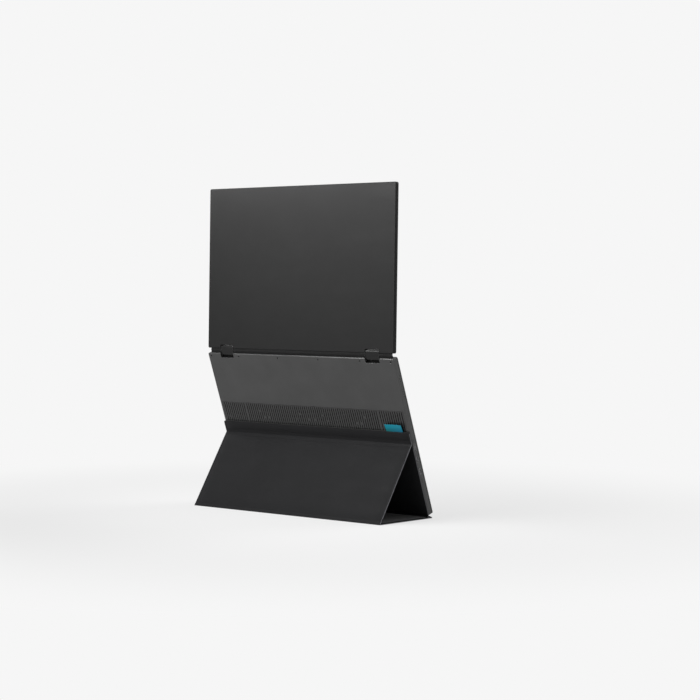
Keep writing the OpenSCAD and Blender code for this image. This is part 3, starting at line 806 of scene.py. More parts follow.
class Finishes:
    """Every finish: its name, colour, roughness, specular level and metallic share."""

    # painted highlight: a strong, wide edge mix paints light lines along the shell's edges, over
    # its real wear
    ANODISED_LOWER = Coated(
        "anodised_lower", grey(0.074), 0.42, 0.2, 0.7, wear_and_highlight=0.55, radius=0.4 * MM
    )
    ANODISED_LID = Coated("anodised_lid", grey(0.0135), 0.42, 0.08, 0.1)
    GRILLE = Grille("grille_dark", grey(0.06), 0.45, 0.2, 0.6, wear_and_highlight=0.1)
    # partly painted shade: the real dust mesh is made almost black so that the slots read as
    # deep shade
    DUST_MESH_AND_SLOT_SHADE = Layer("mesh_black", grey(0.003), 0.8, 0.05, cell=0.6 * MM)
    FRAME = Coated(
        "frame_black", grey(0.014), 0.45, 0.4, grain=1800.0, depth=0.02 * MM, wear_and_highlight=0.05
    )
    GLASS = CoverGlass("screen_glass", (0.010, 0.011, 0.013), 0.28, 0.1)
    LCD = Layer("lcd_layer", (0.02, 0.022, 0.026), 0.4)
    BACKLIGHT = Layer("backlight_layer", (0.75, 0.76, 0.76), 0.5, cell=2.0 * MM)
    CIRCUIT = Circuit("circuit_green", (0.012, 0.07, 0.022), 0.35)
    ALUMINIUM = Coated(
        "aluminium", (0.55, 0.56, 0.57), 0.32, 0.5, 1.0, grain=900.0,
        worn_and_lit_colour=(0.7, 0.7, 0.7), wear_and_highlight=0.1, stretch=(0.05, 1.0, 1.0),
    )
    # partly painted shade: the gap ribs and notch liners are made near black to stand in for the
    # shade in the hinge gap; the switches and speakers are real black plastic
    BLACK_PLASTIC_AND_GAP_SHADE = Coated("black_plastic", grey(0.005), 0.5, 0.15, grain=1600.0, wear_and_highlight=0.05)
    CONNECTOR = Coated(
        "connector_steel", (0.42, 0.42, 0.43), 0.3, 0.5, 1.0, worn_and_lit_colour=(0.6, 0.6, 0.6), wear_and_highlight=0.2
    )
    HINGE_STEEL = Coated(
        "hinge_steel", (0.34, 0.34, 0.35), 0.28, 0.5, 1.0, grain=1200.0,
        worn_and_lit_colour=(0.6, 0.6, 0.6), wear_and_highlight=0.3, stretch=(1.0, 0.2, 0.2),
    )
    SCREW = Coated("screw_black", grey(0.005), 0.4, 0.15, 0.2, wear_and_highlight=0.1, radius=0.12 * MM)
    # painted highlight: a strong, wide edge mix paints light lines along the hinge blocks'
    # rounded edges
    HINGE_COAT = Coated(
        "hinge_metal", grey(0.022), 0.2, 0.15, 0.6,
        worn_and_lit_colour=(0.5, 0.5, 0.51), wear_and_highlight=0.8, radius=0.4 * MM,
    )
    HINGE_WEB = Coated("web_metal", grey(0.015), 0.35, 0.15, 0.4, wear_and_highlight=0.04)
    MAGNET = Coated("magnet", (0.5, 0.49, 0.47), 0.2, 0.5, 1.0, worn_and_lit_colour=(0.7, 0.7, 0.7), wear_and_highlight=0.2)
    BUTTON = Coated("button_metal", grey(0.05), 0.34, 0.4, 0.5, wear_and_highlight=0.35, radius=0.15 * MM)
    BOARD = Coated(
        "cover_board", (0.05, 0.048, 0.045), 0.85, 0.2, grain=1400.0, depth=0.04 * MM,
        spread=0.2, wear_and_highlight=0.0,
    )
    CLOTH = Cloth("cover_cloth", (0.0112, 0.0113, 0.0123), 0.62, 0.11)
    LINING = Nap("cover_lining", (0.012, 0.0121, 0.0126), 0.85, 0.1)
    RIBBON = RibbonCloth("ribbon_teal", (0.005, 0.235, 0.32), 0.5, 0.12)
    THREAD = Nap("ribbon_thread", (0.03, 0.06, 0.07), 0.8, 0.2)


# ---- places -------------------------------------------------------------


@dataclass(frozen=True)
class Place:
    """Where a flat panel lies: its Z runs up the panel, its Y out of it, its X stays."""

    y: float
    z: float
    lean: float

    @cached_property
    def matrix(self) -> Matrix:
        """The matrix from the panel's own coordinates to the frame."""
        c, s = math.cos(self.lean), math.sin(self.lean)
        return Matrix(((1, 0, 0, 0), (0, c, s, self.y), (0, -s, c, self.z), (0, 0, 0, 1)))

    def point(self, x: float, y: float, z: float) -> Vector:
        """Returns a point of the panel in the frame."""
        return self.matrix @ Vector((x, y, z))

    def along(self, z: float) -> Vector:
        """Returns the point on the panel's middle line at that height."""
        return self.point(0.0, 0.0, z)


@dataclass(frozen=True)
class Stand:
    """The sizes of the folded cover, as in the CAD, and the places that follow from them."""

    base_lean: float = math.radians(19.6)
    base_t: float = 9.5 * MM
    front_bevel: float = 0.3 * MM
    seat: float = 3.7 * MM
    seat_gap: float = 0.3 * MM
    width: float = 361.0 * MM
    skin: float = 0.8 * MM
    board: float = 1.0 * MM
    lining: float = 0.5 * MM
    ridge_h: float = 109.4 * MM
    strip_h: float = 17.8 * MM
    reach: float = 106.0 * MM
    nose_reach: float = 6.1 * MM
    nose_r: float = 0.9 * MM
    corner: float = 3.0 * MM
    fold_gap: float = 4.5 * MM
    panel_gap: float = 3.0 * MM
    panel_lift: float = 0.8 * MM

    @property
    def half(self) -> float:
        """Half of the outer cloth's thickness."""
        return self.skin / 2

    @property
    def middle(self) -> float:
        """The way from the lower panel's back edge to the middle of the stand."""
        up, out = math.sin(self.base_lean), math.cos(self.base_lean)
        return (self.front_bevel * up - self.base_t * out + self.reach + self.half) / 2

    @cached_property
    def base(self) -> Place:
        """The lower panel's back face."""
        return Place(-self.middle, self.seat, self.base_lean)

    @cached_property
    def foot(self) -> Place:
        """The middle of the foot's outer cloth, whose own Y is down."""
        return Place(-self.middle, self.half, math.pi / 2)

    @cached_property
    def ridge(self) -> Vector:
        """The axis between leg and strip."""
        out = self.seat_gap + self.skin + self.board + self.lining - self.half
        return self.base.point(0.0, out, self.ridge_h)

    @cached_property
    def rear(self) -> Vector:
        """The axis between foot and leg."""
        return self.foot.along(self.reach)

    @cached_property
    def leg(self) -> Place:
        """The middle of the leg's outer cloth, up from the rear crease."""
        rise = self.ridge - self.rear
        return Place(self.rear.y, self.rear.z, math.atan2(rise.y, rise.z))

    @property
    def leg_len(self) -> float:
        """The way from the rear crease to the ridge."""
        return (self.ridge - self.rear).length

    @cached_property
    def strip(self) -> Place:
        """The middle of the strip's outer cloth, up from the ridge."""
        return Place(self.ridge.y, self.ridge.z, self.base_lean)

    @cached_property
    def nose(self) -> Vector:
        """The axis of the front nose."""
        return Vector((0.0, self.nose_r - self.nose_reach - self.middle, self.nose_r))


# ---- mesh building ------------------------------------------------------


class Mesher:
    """Turns a bmesh into a finished piece and gives it its body and material."""

    @staticmethod
    def finish(
        bm: BMesh,
        name: str,
        finish: Finish,
        place: Place | None = None,
        crease: float = 38.0,
    ) -> Piece:
        """Makes an object of a bmesh, smooth but for its sharp edges.

        Args:
            bm: the mesh, which is freed.
            name: the piece's name.
            finish: its finish.
            place: where it goes, if it isn't in the frame already.
            crease: the angle in degrees past which an edge stays sharp.

        Returns:
            The object, at the origin.
        """
        for face in bm.faces:
            face.smooth = True
        for edge in bm.edges:
            if len(edge.link_faces) == 2:
                edge.smooth = edge.calc_face_angle(0.0) < math.radians(crease)
        if place is not None:
            bm.transform(place.matrix)
        mesh = bpy.data.meshes.new(name)
        bm.to_mesh(mesh)
        bm.free()
        mesh.materials.append(finish.material())
        made = bpy.data.objects.new(name, mesh)
        bpy.context.scene.collection.objects.link(made)
        return made

    @staticmethod
    def cuts(bm: BMesh, axis: int, places: Iterable[float]) -> None:
        """Cuts the whole mesh at planes across an axis.

        Args:
            bm: the mesh.
            axis: 0, 1 or 2 for X, Y or Z.
            places: where along the axis.
        """
        normal = Vector([float(i == axis) for i in range(3)])
        for place in places:
            bmesh.ops.bisect_plane(
                bm,
                geom=bm.verts[:] + bm.edges[:] + bm.faces[:],
                dist=EPS,
                plane_co=normal * place,
                plane_no=normal,
            )

    @staticmethod
    def bevel(
        bm: BMesh, geom: list, offset: float, segments: int, affect: str = "EDGES"
    ) -> None:
        """Rounds edges or corners.

        Args:
            bm: the mesh.
            geom: the edges or vertices.
            offset: how wide the rounding is.
            segments: how many faces it has.
            affect: EDGES or VERTICES.
        """
        bmesh.ops.bevel(
            bm,
            geom=geom,
            offset=offset,
            offset_type="OFFSET",
            segments=segments,
            profile=0.5,
            affect=affect,
            clamp_overlap=affect == "EDGES",
            material=-1,
        )

    @staticmethod
    def round_rims(bm: BMesh, offset: float, segments: int = 2) -> None:
        """Rounds every edge that is sharper than 60 degrees.

        Args:
            bm: the mesh.
            offset: how wide the rounding is.
            segments: how many faces it has.
        """
        sharp = math.radians(60.0)
        rims = [e for e in bm.edges if len(e.link_faces) == 2 and e.calc_face_angle(0.0) > sharp]
        Mesher.bevel(bm, rims, offset, segments)

    @staticmethod
    def verts_of(result: dict) -> list[bmesh.types.BMVert]:
        """Returns the vertices that an operator made."""
        return [g for g in result["geom"] if isinstance(g, bmesh.types.BMVert)]

    @staticmethod
    def draw_out(bm: BMesh, width: float) -> None:
        """Draws a mesh's flat face out along X, into a closed body.

        Args:
            bm: the mesh, which is only the face at its low end.
            width: how far.
        """
        drawn = bmesh.ops.extrude_face_region(bm, geom=bm.faces[:])
        bmesh.ops.translate(bm, verts=Mesher.verts_of(drawn), vec=(width, 0, 0))
        bmesh.ops.recalc_face_normals(bm, faces=bm.faces[:])

    @staticmethod
    def hand_over(piece: Piece, body: Body, slot: Slot, node: str) -> None:
        """Puts a piece on its body and hides the CAD node that it stands for.

        Args:
            piece: the piece.
            body: the body that it rides on.
            slot: its material slot; not used.
            node: the CAD node.
        """
        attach(piece, body.value)
        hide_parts(node)

    @staticmethod
    def steps(low: float, high: float, size: float) -> list[float]:
        """Returns evenly spaced places between two ends, about size apart."""
        count = max(1, round((high - low) / size))
        return [low + (high - low) * i / count for i in range(1, count)]


@dataclass(frozen=True)
class Sheet:
    """A flat sheet of cloth: rounded rims, a pressed line along each side and slight waves."""

    name: str
    width: float
    low: float
    high: float
    back: float
    front: float
    low_corner: float = 0.0
    high_corner: float = 0.0
    side_line: float = 3.2 * MM
    line_depth: float = 0.16 * MM
    line_half: float = 0.45 * MM
    wave: float = 0.12 * MM
    wave_size: float = 55.0 * MM
    wave_seed: float = 40.0
    fade: float = 12.0 * MM
    rim: float = 0.22 * MM
    rim_share: float = 0.45
    cell: float = 12.0 * MM
    corner_steps: int = 6

    def build(self, finish: Finish, place: Place) -> Piece:
        """Builds the sheet.

        Args:
            finish: its cloth.
            place: where it lies.

        Returns:
            The piece.
        """
        bm = bmesh.new()
        bmesh.ops.create_grid(bm, x_segments=1, y_segments=1, size=0.5)
        length, middle = self.high - self.low, (self.high + self.low) / 2
        upright = (
            (self.width, 0, 0, 0),
            (0, 0, -1, self.front),
            (0, length, 0, middle),
            (0, 0, 0, 1),
        )
        bm.transform(Matrix(upright))
        for corner, end in ((self.low_corner, self.low), (self.high_corner, self.high)):
            if corner > 0:
                corners = [v for v in bm.verts if abs(v.co.z - end) < EPS]
                Mesher.bevel(bm, corners, corner, self.corner_steps, "VERTICES")
        self.press(bm)
        for v in Mesher.verts_of(bmesh.ops.extrude_face_region(bm, geom=bm.faces[:])):
            v.co.y = self.back
        bmesh.ops.recalc_face_normals(bm, faces=bm.faces[:])
        most = self.rim_share * abs(self.front - self.back)
        Mesher.round_rims(bm, min(self.rim, most))
        return Mesher.finish(bm, self.name, finish, place)

    def press(self, bm: BMesh) -> None:
        """Cuts the flat face into cells, presses the side lines into it and waves the rest.

        Args:
            bm: the flat face.
        """
        side = self.width / 2 - self.side_line
        lines = [s * (side + d) for s in (-1, 1) for d in (-self.line_half, 0, self.line_half)]
        Mesher.cuts(bm, 0, lines + Mesher.steps(-side, side, self.cell))
        Mesher.cuts(bm, 2, Mesher.steps(self.low, self.high, self.cell))
        outward = 1.0 if self.front > self.back else -1.0
        for v in bm.verts:
            inner_x = self.width / 2 - abs(v.co.x)
            inner_z = min(v.co.z - self.low, self.high - v.co.z)
            if abs(abs(v.co.x) - side) < EPS:
                v.co.y -= outward * self.line_depth
                continue
            fade = min(1.0, max(0.0, min(inner_x - self.side_line, inner_z) / self.fade))
            if fade > 0:
                place = Vector((v.co.x, v.co.z, self.back * self.wave_seed)) / self.wave_size
                swell = 0.5 + 0.5 * noise.noise(place)
                v.co.y += outward * self.wave * fade * swell

    def declare(self, piece: Piece, board: str) -> None:
        """Does nothing: the piece is not declared anywhere.

        Args:
            piece: the built piece; not used.
            board: what it is laid on; not used.
        """


@dataclass(frozen=True)
class Extrusion:
    """A closed profile in Y and Z, drawn out along X. Each corner has its own rounding."""

    name: str
    profile: Profile
    width: float
    rim: float = 0.15 * MM
    plain_end: float = 0.6 * MM
    wave: float = 0.04 * MM
    wave_scales: tuple[float, float] = (60.0, 300.0)
    cell: float = 9.0 * MM
    corner_steps: int = 5
    rim_steps: int = 2

    def build(self, finish: Finish) -> Piece:
        """Builds the extrusion.

        Args:
            finish: its finish.

        Returns:
            The piece.
        """
        bm = bmesh.new()
        corners = [bm.verts.new((-self.width / 2, y, z)) for y, z, _ in self.profile]
        bm.faces.new(corners)
        for (*_, rounding), corner in zip(self.profile, corners):
            if rounding > 0:
                Mesher.bevel(bm, [corner], rounding, self.corner_steps, "VERTICES")
        Mesher.draw_out(bm, self.width)
        ends = [e for e in bm.edges if abs(e.verts[0].co.x - e.verts[1].co.x) < EPS]
        Mesher.bevel(bm, ends, self.rim, self.rim_steps)
        half = self.width / 2 - self.plain_end
        Mesher.cuts(bm, 0, [-half, *Mesher.steps(-half, half, self.cell), half])
        along, across = self.wave_scales
        for v in bm.verts:
            if abs(v.co.x) < half + EPS:
                away = v.normal
                push = noise.noise(Vector((v.co.x * along, v.co.y * across, v.co.z * across)))
                v.co += Vector((0, away.y, away.z)) * (self.wave * push)
        return Mesher.finish(bm, self.name, finish)


# ---- the folding cover --------------------------------------------------


@dataclass
class FoldingCover:
    """The cover that the monitor stands on: back panel, spine, foot, leg and top strip."""

    stand: Stand = field(default_factory=Stand)
    arm: float = 5.0 * MM
    seam: float = 0.04 * MM
    lining_inset: float = 1.0 * MM
    spine_cut: float = 12.8 * MM
    lining_cut: float = 10.0 * MM
    lining_girth: float = 7.6 * MM
    foot_lining_low: float = 4.0 * MM
    low_corner: float = 1.0 * MM
    nose_round: float = 0.3 * MM
    nose_sides: int = 20
    nose_steps: int = 3
    crease_round: float = 0.12 * MM
    blend_reach: float = 1.0 * MM

    def build(self) -> list[Piece]:
        """Builds every cloth piece of the cover.

        Returns:
            The pieces.
        """
        s = self.stand
        seam = self.arm + self.seam
        return [
            *self.back_panel(),
            *self.spine(),
            *self.foot(),
            *self.layers("leg", Body.LEG, s.leg, (seam, s.leg_len - seam)),
            *self.layers("strip", Body.STRIP, s.strip, (seam, s.strip_h), corner=s.corner),
            self.fold("rear", s.rear, (s.foot, s.leg)),
            self.fold("ridge", s.ridge, (s.leg, s.strip)),
        ]

    def back_panel(self) -> list[Piece]:
        """Builds the cloth of the panel that is fixed to the lower panel's back.

        Returns:
            The piece.
        """
        s = self.stand
        sheet = Sheet(
            "cover_panel_cloth",
            s.width,
            s.panel_lift,
            s.ridge_h - s.panel_gap,
            s.board,
            s.board + s.skin,
            low_corner=self.low_corner,
            high_corner=s.corner,
        )
        piece = sheet.build(Finishes.CLOTH, s.base)
        Mesher.hand_over(piece, Body.BASE, Slot.CLOTH, "panel_skin")
        sheet.declare(piece, "panel_board")
        return [piece]

    def spine(self) -> list[Piece]:
        """Builds the cloth that is folded under the lower panel's bottom edge.

        Returns:
            The outer cloth and the lining folded into it.
        """
        s = self.stand
        outer: Profile = (
            (1.96, 3.78, 0.0),
            (3.25, 3.0, 0.5),
            (3.5, 1.9, 0.6),
            (2.8, 1.14, 0.6),
            (-3.95, 1.14, 0.2),
            (-4.2, 1.75, 0.2),
            (-5.2, 2.02, 0.05),
            (-4.6, 2.2, 0.2),
            (-3.5, 1.94, 0.3),
            (2.1, 1.94, 0.3),
            (2.65, 2.4, 0.25),
            (2.5, 2.75, 0.2),
            (1.25, 4.05, 0.0),
        )
        inner: Profile = (
            (-4.3, 2.28, 0.1),
            (-0.72, 3.82, 0.3),
            (0.9, 3.72, 0.3),
            (2.1, 2.85, 0.4),
            (2.3, 2.4, 0.2),
            (1.95, 2.04, 0.2),
            (-3.5, 2.04, 0.1),
        )
        inset_width = s.width - 2 * self.lining_inset
        made = []
        for name, profile, width, finish, slot in (
            ("spine_cloth", outer, s.width, Finishes.CLOTH, Slot.CLOTH),
            ("spine_lining", inner, inset_width, Finishes.LINING, Slot.LINING),
        ):
            placed = [(y * MM - s.middle, z * MM, r * MM) for y, z, r in profile]
            piece = Extrusion(name, placed, width).build(finish)
            Mesher.hand_over(piece, Body.BASE, slot, "spine_flap")
            made.append(piece)
        return made

    def layers(
        self,
        name: str,
        body: Body,
        place: Place,
        ends: tuple[float, float],
        corner: float = 0.0,
        flat: bool = False,
        inner_low: float | None = None,
    ) -> list[Piece]:
        """Builds the outer cloth and the lining of one stiffened panel.

        Args:
            name: the panel's name.
            body: the body that it is on.
            place: the middle of its outer cloth.
            ends: where the outer cloth starts and ends along it.
            corner: the radius of the two corners at its upper end.
            flat: whether the outer cloth lies flat on the table.
            inner_low: where the lining starts, if not at the board.

        Returns:
            The two pieces.
        """
        s = self.stand
        outer = Sheet(
            f"{name}_cloth",
            s.width,
            *ends,
            back=-s.half,
            front=s.half,
            high_corner=corner,
            wave=0.0 if flat else Sheet.wave,
            line_depth=0.0 if flat else Sheet.line_depth,
        )
        inner_face = -s.half - s.board
        high = ends[1] if corner else ends[1] + self.arm - s.fold_gap
        low = (ends[0] - self.arm + s.fold_gap) if inner_low is None else inner_low
        inner = Sheet(
            f"{name}_lining_cloth",
            s.width - 2 * self.lining_inset,
            low,
            high,
            back=inner_face,
            front=inner_face - s.lining,
            high_corner=corner,
            line_depth=0.08 * MM,
            wave=0.08 * MM,
            rim=0.15 * MM,
        )
        made = []
        for sheet, finish, slot, node in (
            (outer, Finishes.CLOTH, Slot.CLOTH, f"{name}_skin"),
            (inner, Finishes.LINING, Slot.LINING, f"{name}_lining"),
        ):
            piece = sheet.build(finish, place)
            Mesher.hand_over(piece, body, slot, node)
            sheet.declare(piece, f"{name}_board")
            made.append(piece)
        return made

    def foot(self) -> list[Piece]:
        """Builds the foot's cloths and the rolled nose at its front.

        Returns:
            The pieces.
        """
        s = self.stand
        front = s.nose.y + s.middle
        made = self.layers(
            "foot",
            Body.FOOT,
            s.foot,
            (front, s.reach - self.arm - self.seam),
            flat=True,
            inner_low=self.foot_lining_low,
        )
        bm = bmesh.new()
        bmesh.ops.create_circle(bm, cap_ends=True, radius=s.nose_r, segments=self.nose_sides)
        bm.transform(Matrix.Rotation(math.pi / 2, 4, "Y"))
        bmesh.ops.translate(bm, verts=bm.verts[:], vec=(-s.width / 2, 0, 0))
        Mesher.draw_out(bm, s.width)
        Mesher.round_rims(bm, self.nose_round, self.nose_steps)
        bmesh.ops.translate(bm, verts=bm.verts[:], vec=s.nose)
        nose = Mesher.finish(bm, "nose_roll", Finishes.CLOTH)
        Mesher.hand_over(nose, Body.FOOT, Slot.CLOTH, "front_crease")
        return [*made, nose]

    def fold(
        self,
        name: str,
        axis: Vector,
        panels: tuple[Place, Place],
    ) -> Piece:
        """Builds the bare cloth that bends round one crease, between two panels.

        Args:
            name: the crease's name.
            axis: the crease's axis.
            panels: the panel that ends at the crease and the one that starts there.

        Returns:
            The piece.
        """
        s = self.stand
        leans = (panels[0].lean + math.pi, panels[1].lean)
        ways = [Vector((0, math.sin(a), math.cos(a))) for a in leans]
        turn = ways[0].angle(ways[1]) / 2
        inward = (ways[0] + ways[1]).normalized()
        corner = s.half / math.sin(turn)
        sides = [(way - inward * way.dot(inward)).normalized() for way in ways]
        outs = [(inward * math.sin(turn) - side * math.cos(turn)) * s.half for side in sides]
        arm = self.arm
        points = [
            (axis + ways[0] * arm - outs[0], 0.0),
            (axis - inward * corner, s.half / math.tan(turn)),
            (axis + ways[1] * arm - outs[1], 0.0),
            (axis + ways[1] * arm + outs[1], 0.0),
            (axis + inward * corner, self.crease_round),
            (axis + ways[0] * arm + outs[0], 0.0),
        ]
        profile = [(p.y, p.z, r) for p, r in points]
        cloth = Extrusion(f"{name}_fold_cloth", profile, s.width, wave=0.02 * MM)
        piece = cloth.build(Finishes.CLOTH)
        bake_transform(piece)
        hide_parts(f"{name}_crease")
        return piece


@dataclass
class PullTab:
    """The ribbon loop that is sewn to the strip's free edge."""

    stand: Stand = field(default_factory=Stand)
    x: float = -154.6 * MM
    width: float = 30.0 * MM
    height: float = 11.6 * MM
    ply: float = 0.42 * MM
    thick: float = 1.0 * MM
    lean: float = math.radians(8.0)
    play: float = 0.05 * MM
    fold_drop: float = 0.8 * MM
    fold_steps: int = 6
    bend: float = 0.5
    columns: int = 16
    bow: float = 0.35 * MM
    flat_share: float = 0.4
    droop: float = 0.25 * MM
    stitch: Vec3 = (0.75 * MM, 0.13 * MM, 0.16 * MM)
    pitch: float = 2.2 * MM
    rows: tuple[float, float] = (0.55 * MM, 1.15 * MM)
    margin: float = 1.5 * MM
    proud: float = 0.04 * MM

    def build(self) -> list[Piece]:
        """Builds the ribbon and its stitches.

        Returns:
            The two pieces.
        """
        ribbon, stitches = self.ribbon(), self.stitches()
        for piece in (ribbon, stitches):
            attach(piece, Body.STRIP.value)
        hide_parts("pull_tab")
        return [ribbon, stitches]

    def path(self) -> list[Vector]:
        """Lays the ribbon's middle line out in the strip's own axes.

        Returns:
            Its points, from its sewn front end over the fold to its back end.
        """
        s = self.stand
        front = self.thick - s.half
        sunk = s.strip_h + front * math.sin(self.lean) + self.play
        root = Vector((0, front - self.ply / 2, sunk))
        out = Vector((0, math.sin(self.lean), math.cos(self.lean)))
        side = Vector((0, math.cos(self.lean), -math.sin(self.lean)))
        gap = self.thick - self.ply
        half = out * (self.height * self.bend)
        top = root + out * (self.height - self.fold_drop)
        line = [root, root + half, top]
        for i in range(1, self.fold_steps):
            angle = math.pi * i / self.fold_steps
            across = side * (gap / 2 * (math.cos(angle) - 1))
            line.append(top + across + out * (gap / 2 * math.sin(angle)))
        back = root - side * gap
        return [*line, top - side * gap, back + half, back + out * self.play]

    def length(self) -> float:
        """Returns how long the ribbon was cut."""
        line = self.path()
        return sum((b - a).length for a, b in zip(line, line[1:]))

    def ribbon(self) -> Piece:
        """Builds the folded ribbon, with a UV map that counts metres across and along it.

        Returns:
            The piece.
        """
        line = self.path()
        bm = bmesh.new()
        verts = [bm.verts.new(p + Vector((-self.width / 2, 0, 0))) for p in line]
        edges = [bm.edges.new(ends) for ends in zip(verts, verts[1:])]
        for _ in range(self.columns):
            drawn = bmesh.ops.extrude_edge_only(bm, edges=edges)
            edges = [g for g in drawn["geom"] if isinstance(g, bmesh.types.BMEdge)]
            step = (self.width / self.columns, 0, 0)
            bmesh.ops.translate(bm, verts=Mesher.verts_of(drawn), vec=step)
        along = [0.0]
        for a, b in zip(line, line[1:]):
            along.append(along[-1] + (b - a).length)
        uv = bm.loops.layers.uv.new("ribbon")
        for face in bm.faces:
            for loop in face.loops:
                co = loop.vert.co
                gaps = [(point.yz - co.yz).length for point in line]
                loop[uv].uv = (co.x + self.width / 2, along[gaps.index(min(gaps))])
        for v in bm.verts:
            lift = max(0.0, v.co.z - self.stand.strip_h) / self.height
            side = (v.co.x / (self.width / 2)) ** 2
            v.co.y += self.bow * lift * (side - self.flat_share)
            v.co.z -= self.droop * side * lift
        bmesh.ops.recalc_face_normals(bm, faces=bm.faces[:])
        bmesh.ops.solidify(bm, geom=bm.faces[:], thickness=self.ply)
        bmesh.ops.recalc_face_normals(bm, faces=bm.faces[:])
        bmesh.ops.translate(bm, verts=bm.verts[:], vec=(self.x, 0, 0))
        return Mesher.finish(bm, "pull_tab_ribbon", Finishes.RIBBON, self.stand.strip)

    def stitches(self) -> Piece:
        """Builds the two rows of stitches that hold the ribbon.

        Returns:
            The piece.
        """
        s = self.stand
        bm = bmesh.new()
        span = self.width - 2 * self.margin
        count = round(span / self.pitch)
        size = Matrix.Diagonal((*self.stitch, 1))
        for row in self.rows:
            for i in range(count):
                x = self.x - span / 2 + (i + 0.5) * span / count
                place = Matrix.Translation((x, s.half + self.proud, s.strip_h - row)) @ size
                bmesh.ops.create_icosphere(bm, subdivisions=1, radius=1.0, matrix=place)
        return Mesher.finish(bm, "pull_tab_stitches", Finishes.THREAD, s.strip, crease=180.0)


# ---- CAD nodes and their finishes ---------------------------------------


@dataclass
class DressedParts:
    """A sub-assembly whose shapes are the CAD's own, and which gets its finishes here."""

    name: str
    finishes: dict[Finish, tuple[str, ...]]

    def dress(self) -> None:
        """Gives each node its finish."""
        for finish, nodes in self.finishes.items():
            for node in nodes:
                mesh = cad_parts[node].data
                mesh.materials.clear()
                mesh.materials.append(finish.material())
        count = sum(len(nodes) for nodes in self.finishes.values())
        LOG.info("%s: %d CAD nodes dressed", self.name, count)


def pair(name: str) -> tuple[str, str]:
    """Returns the names of a left and a right node."""
    return f"{name}_left", f"{name}_right"


def display(panel: str) -> dict[Finish, tuple[str, ...]]:
    """Returns the finishes of a panel's display, from its frame to its backlight."""
    return {
        Finishes.FRAME: (f"{panel}_frame",),
        Finishes.GLASS: (f"{panel}_glass",),
        Finishes.LCD: (f"{panel}_lcd",),
        Finishes.BACKLIGHT: (f"{panel}_backlight",),
    }


def dressed_parts() -> list[DressedParts]:
    """Lists the sub-assemblies that keep the CAD's shapes.

    Returns:
        The lower panel with its electronics and ports, the hinge blocks with the web
        between them, the upper panel, and the cover's boards and magnets.
    """
    lower_steel = (*pair("lower_bracket"), *pair("lower_shaft"), "steel_strips")
    switches = (*pair("speaker"), "power_switch", "menu_switches")
    lower = {
        Finishes.ANODISED_LOWER: ("rear_shell",),
        Finishes.GRILLE: ("vent_grille",),
        Finishes.DUST_MESH_AND_SLOT_SHADE: ("vent_mesh",),
        **display("lower"),
        Finishes.CIRCUIT: ("main_board",),
        Finishes.ALUMINIUM: ("heat_spreader",),
        Finishes.BLACK_PLASTIC_AND_GAP_SHADE: (*switches, "lower_gap_rib", "lower_notch_liners"),
        Finishes.CONNECTOR: ("usb_c_port_upper", "usb_c_port_lower", "mini_hdmi_port"),
        Finishes.SCREW: ("rear_screws",),
        Finishes.HINGE_STEEL: lower_steel,
        Finishes.BUTTON: ("power_button", "menu_rocker"),
    }
    link = {
        Finishes.HINGE_COAT: pair("hinge_block"),
        Finishes.HINGE_WEB: ("hinge_web",),
        Finishes.HINGE_STEEL: pair("friction_clips"),
    }
    lid = {
        Finishes.ANODISED_LID: ("lid_back_cover",),
        **display("lid"),
        Finishes.CIRCUIT: ("lid_driver_board",),
        Finishes.BLACK_PLASTIC_AND_GAP_SHADE: ("upper_gap_rib", "upper_notch_liners"),
        Finishes.HINGE_STEEL: (*pair("upper_bracket"), *pair("upper_shaft")),
    }
    core = {
        Finishes.BOARD: ("panel_board", "foot_board", "leg_board", "strip_board"),
        Finishes.MAGNET: ("strip_magnets",),
    }
    return [
        DressedParts("lower unit", lower),
        DressedParts("hinge link", link),
        DressedParts("lid", lid),
        DressedParts("cover core", core),
    ]


# ---- studio -------------------------------------------------------------


@dataclass(frozen=True)
class Softbox:
    """A soft square lamp."""

    name: str
    at: Vec3
    aim: Vec3
    size: tuple[float, float]
    watts: float

    def build(self) -> None:
        """Adds the lamp to the scene."""
        data = bpy.data.lights.new(self.name, "AREA")
        data.shape = "RECTANGLE"
        data.size, data.size_y = self.size
        data.energy = self.watts
        made = bpy.data.objects.new(self.name, data)
        made.location = self.at
        way = Vector(self.aim) - Vector(self.at)
        made.rotation_euler = way.to_track_quat("-Z", "Y").to_euler()
        made.visible_camera = False
        bpy.context.scene.collection.objects.link(made)


@dataclass(frozen=True)
class Camera:
    """The camera. A fit to the object's own edges gave its place, turn and focal length."""

    at: Vec3 = (-1.920949, 2.099497, 0.328144)
    yaw: float = math.radians(41.32742)
    pitch: float = math.radians(1.91661)
    roll: float = math.radians(0.134596)
    focal_share: float = 1980.7507 / 700.0
    sensor: float = 36.0
    near: float = 0.05
    far: float = 60.0

    def build(self) -> None:
        """Adds the camera and makes it the scene's."""
        sy, cy = math.sin(self.yaw), math.cos(self.yaw)
        sp, cp = math.sin(self.pitch), math.cos(self.pitch)
        ahead = Vector((sy * cp, -cy * cp, -sp))
        right = Vector((-cy, -sy, 0.0))
        up = right.cross(ahead)
        c, s = math.cos(self.roll), math.sin(self.roll)
        right, up = right * c + up * s, up * c - right * s
        data = bpy.data.cameras.new("camera")
        data.sensor_width = self.sensor
        data.lens = self.sensor * self.focal_share
        data.clip_start, data.clip_end = self.near, self.far
        made = bpy.data.objects.new("camera", data)
        turn = Matrix((right, up, -ahead)).transposed()
        made.matrix_world = Matrix.Translation(self.at) @ turn.to_4x4()
        bpy.context.scene.collection.objects.link(made)
        bpy.context.scene.camera = made


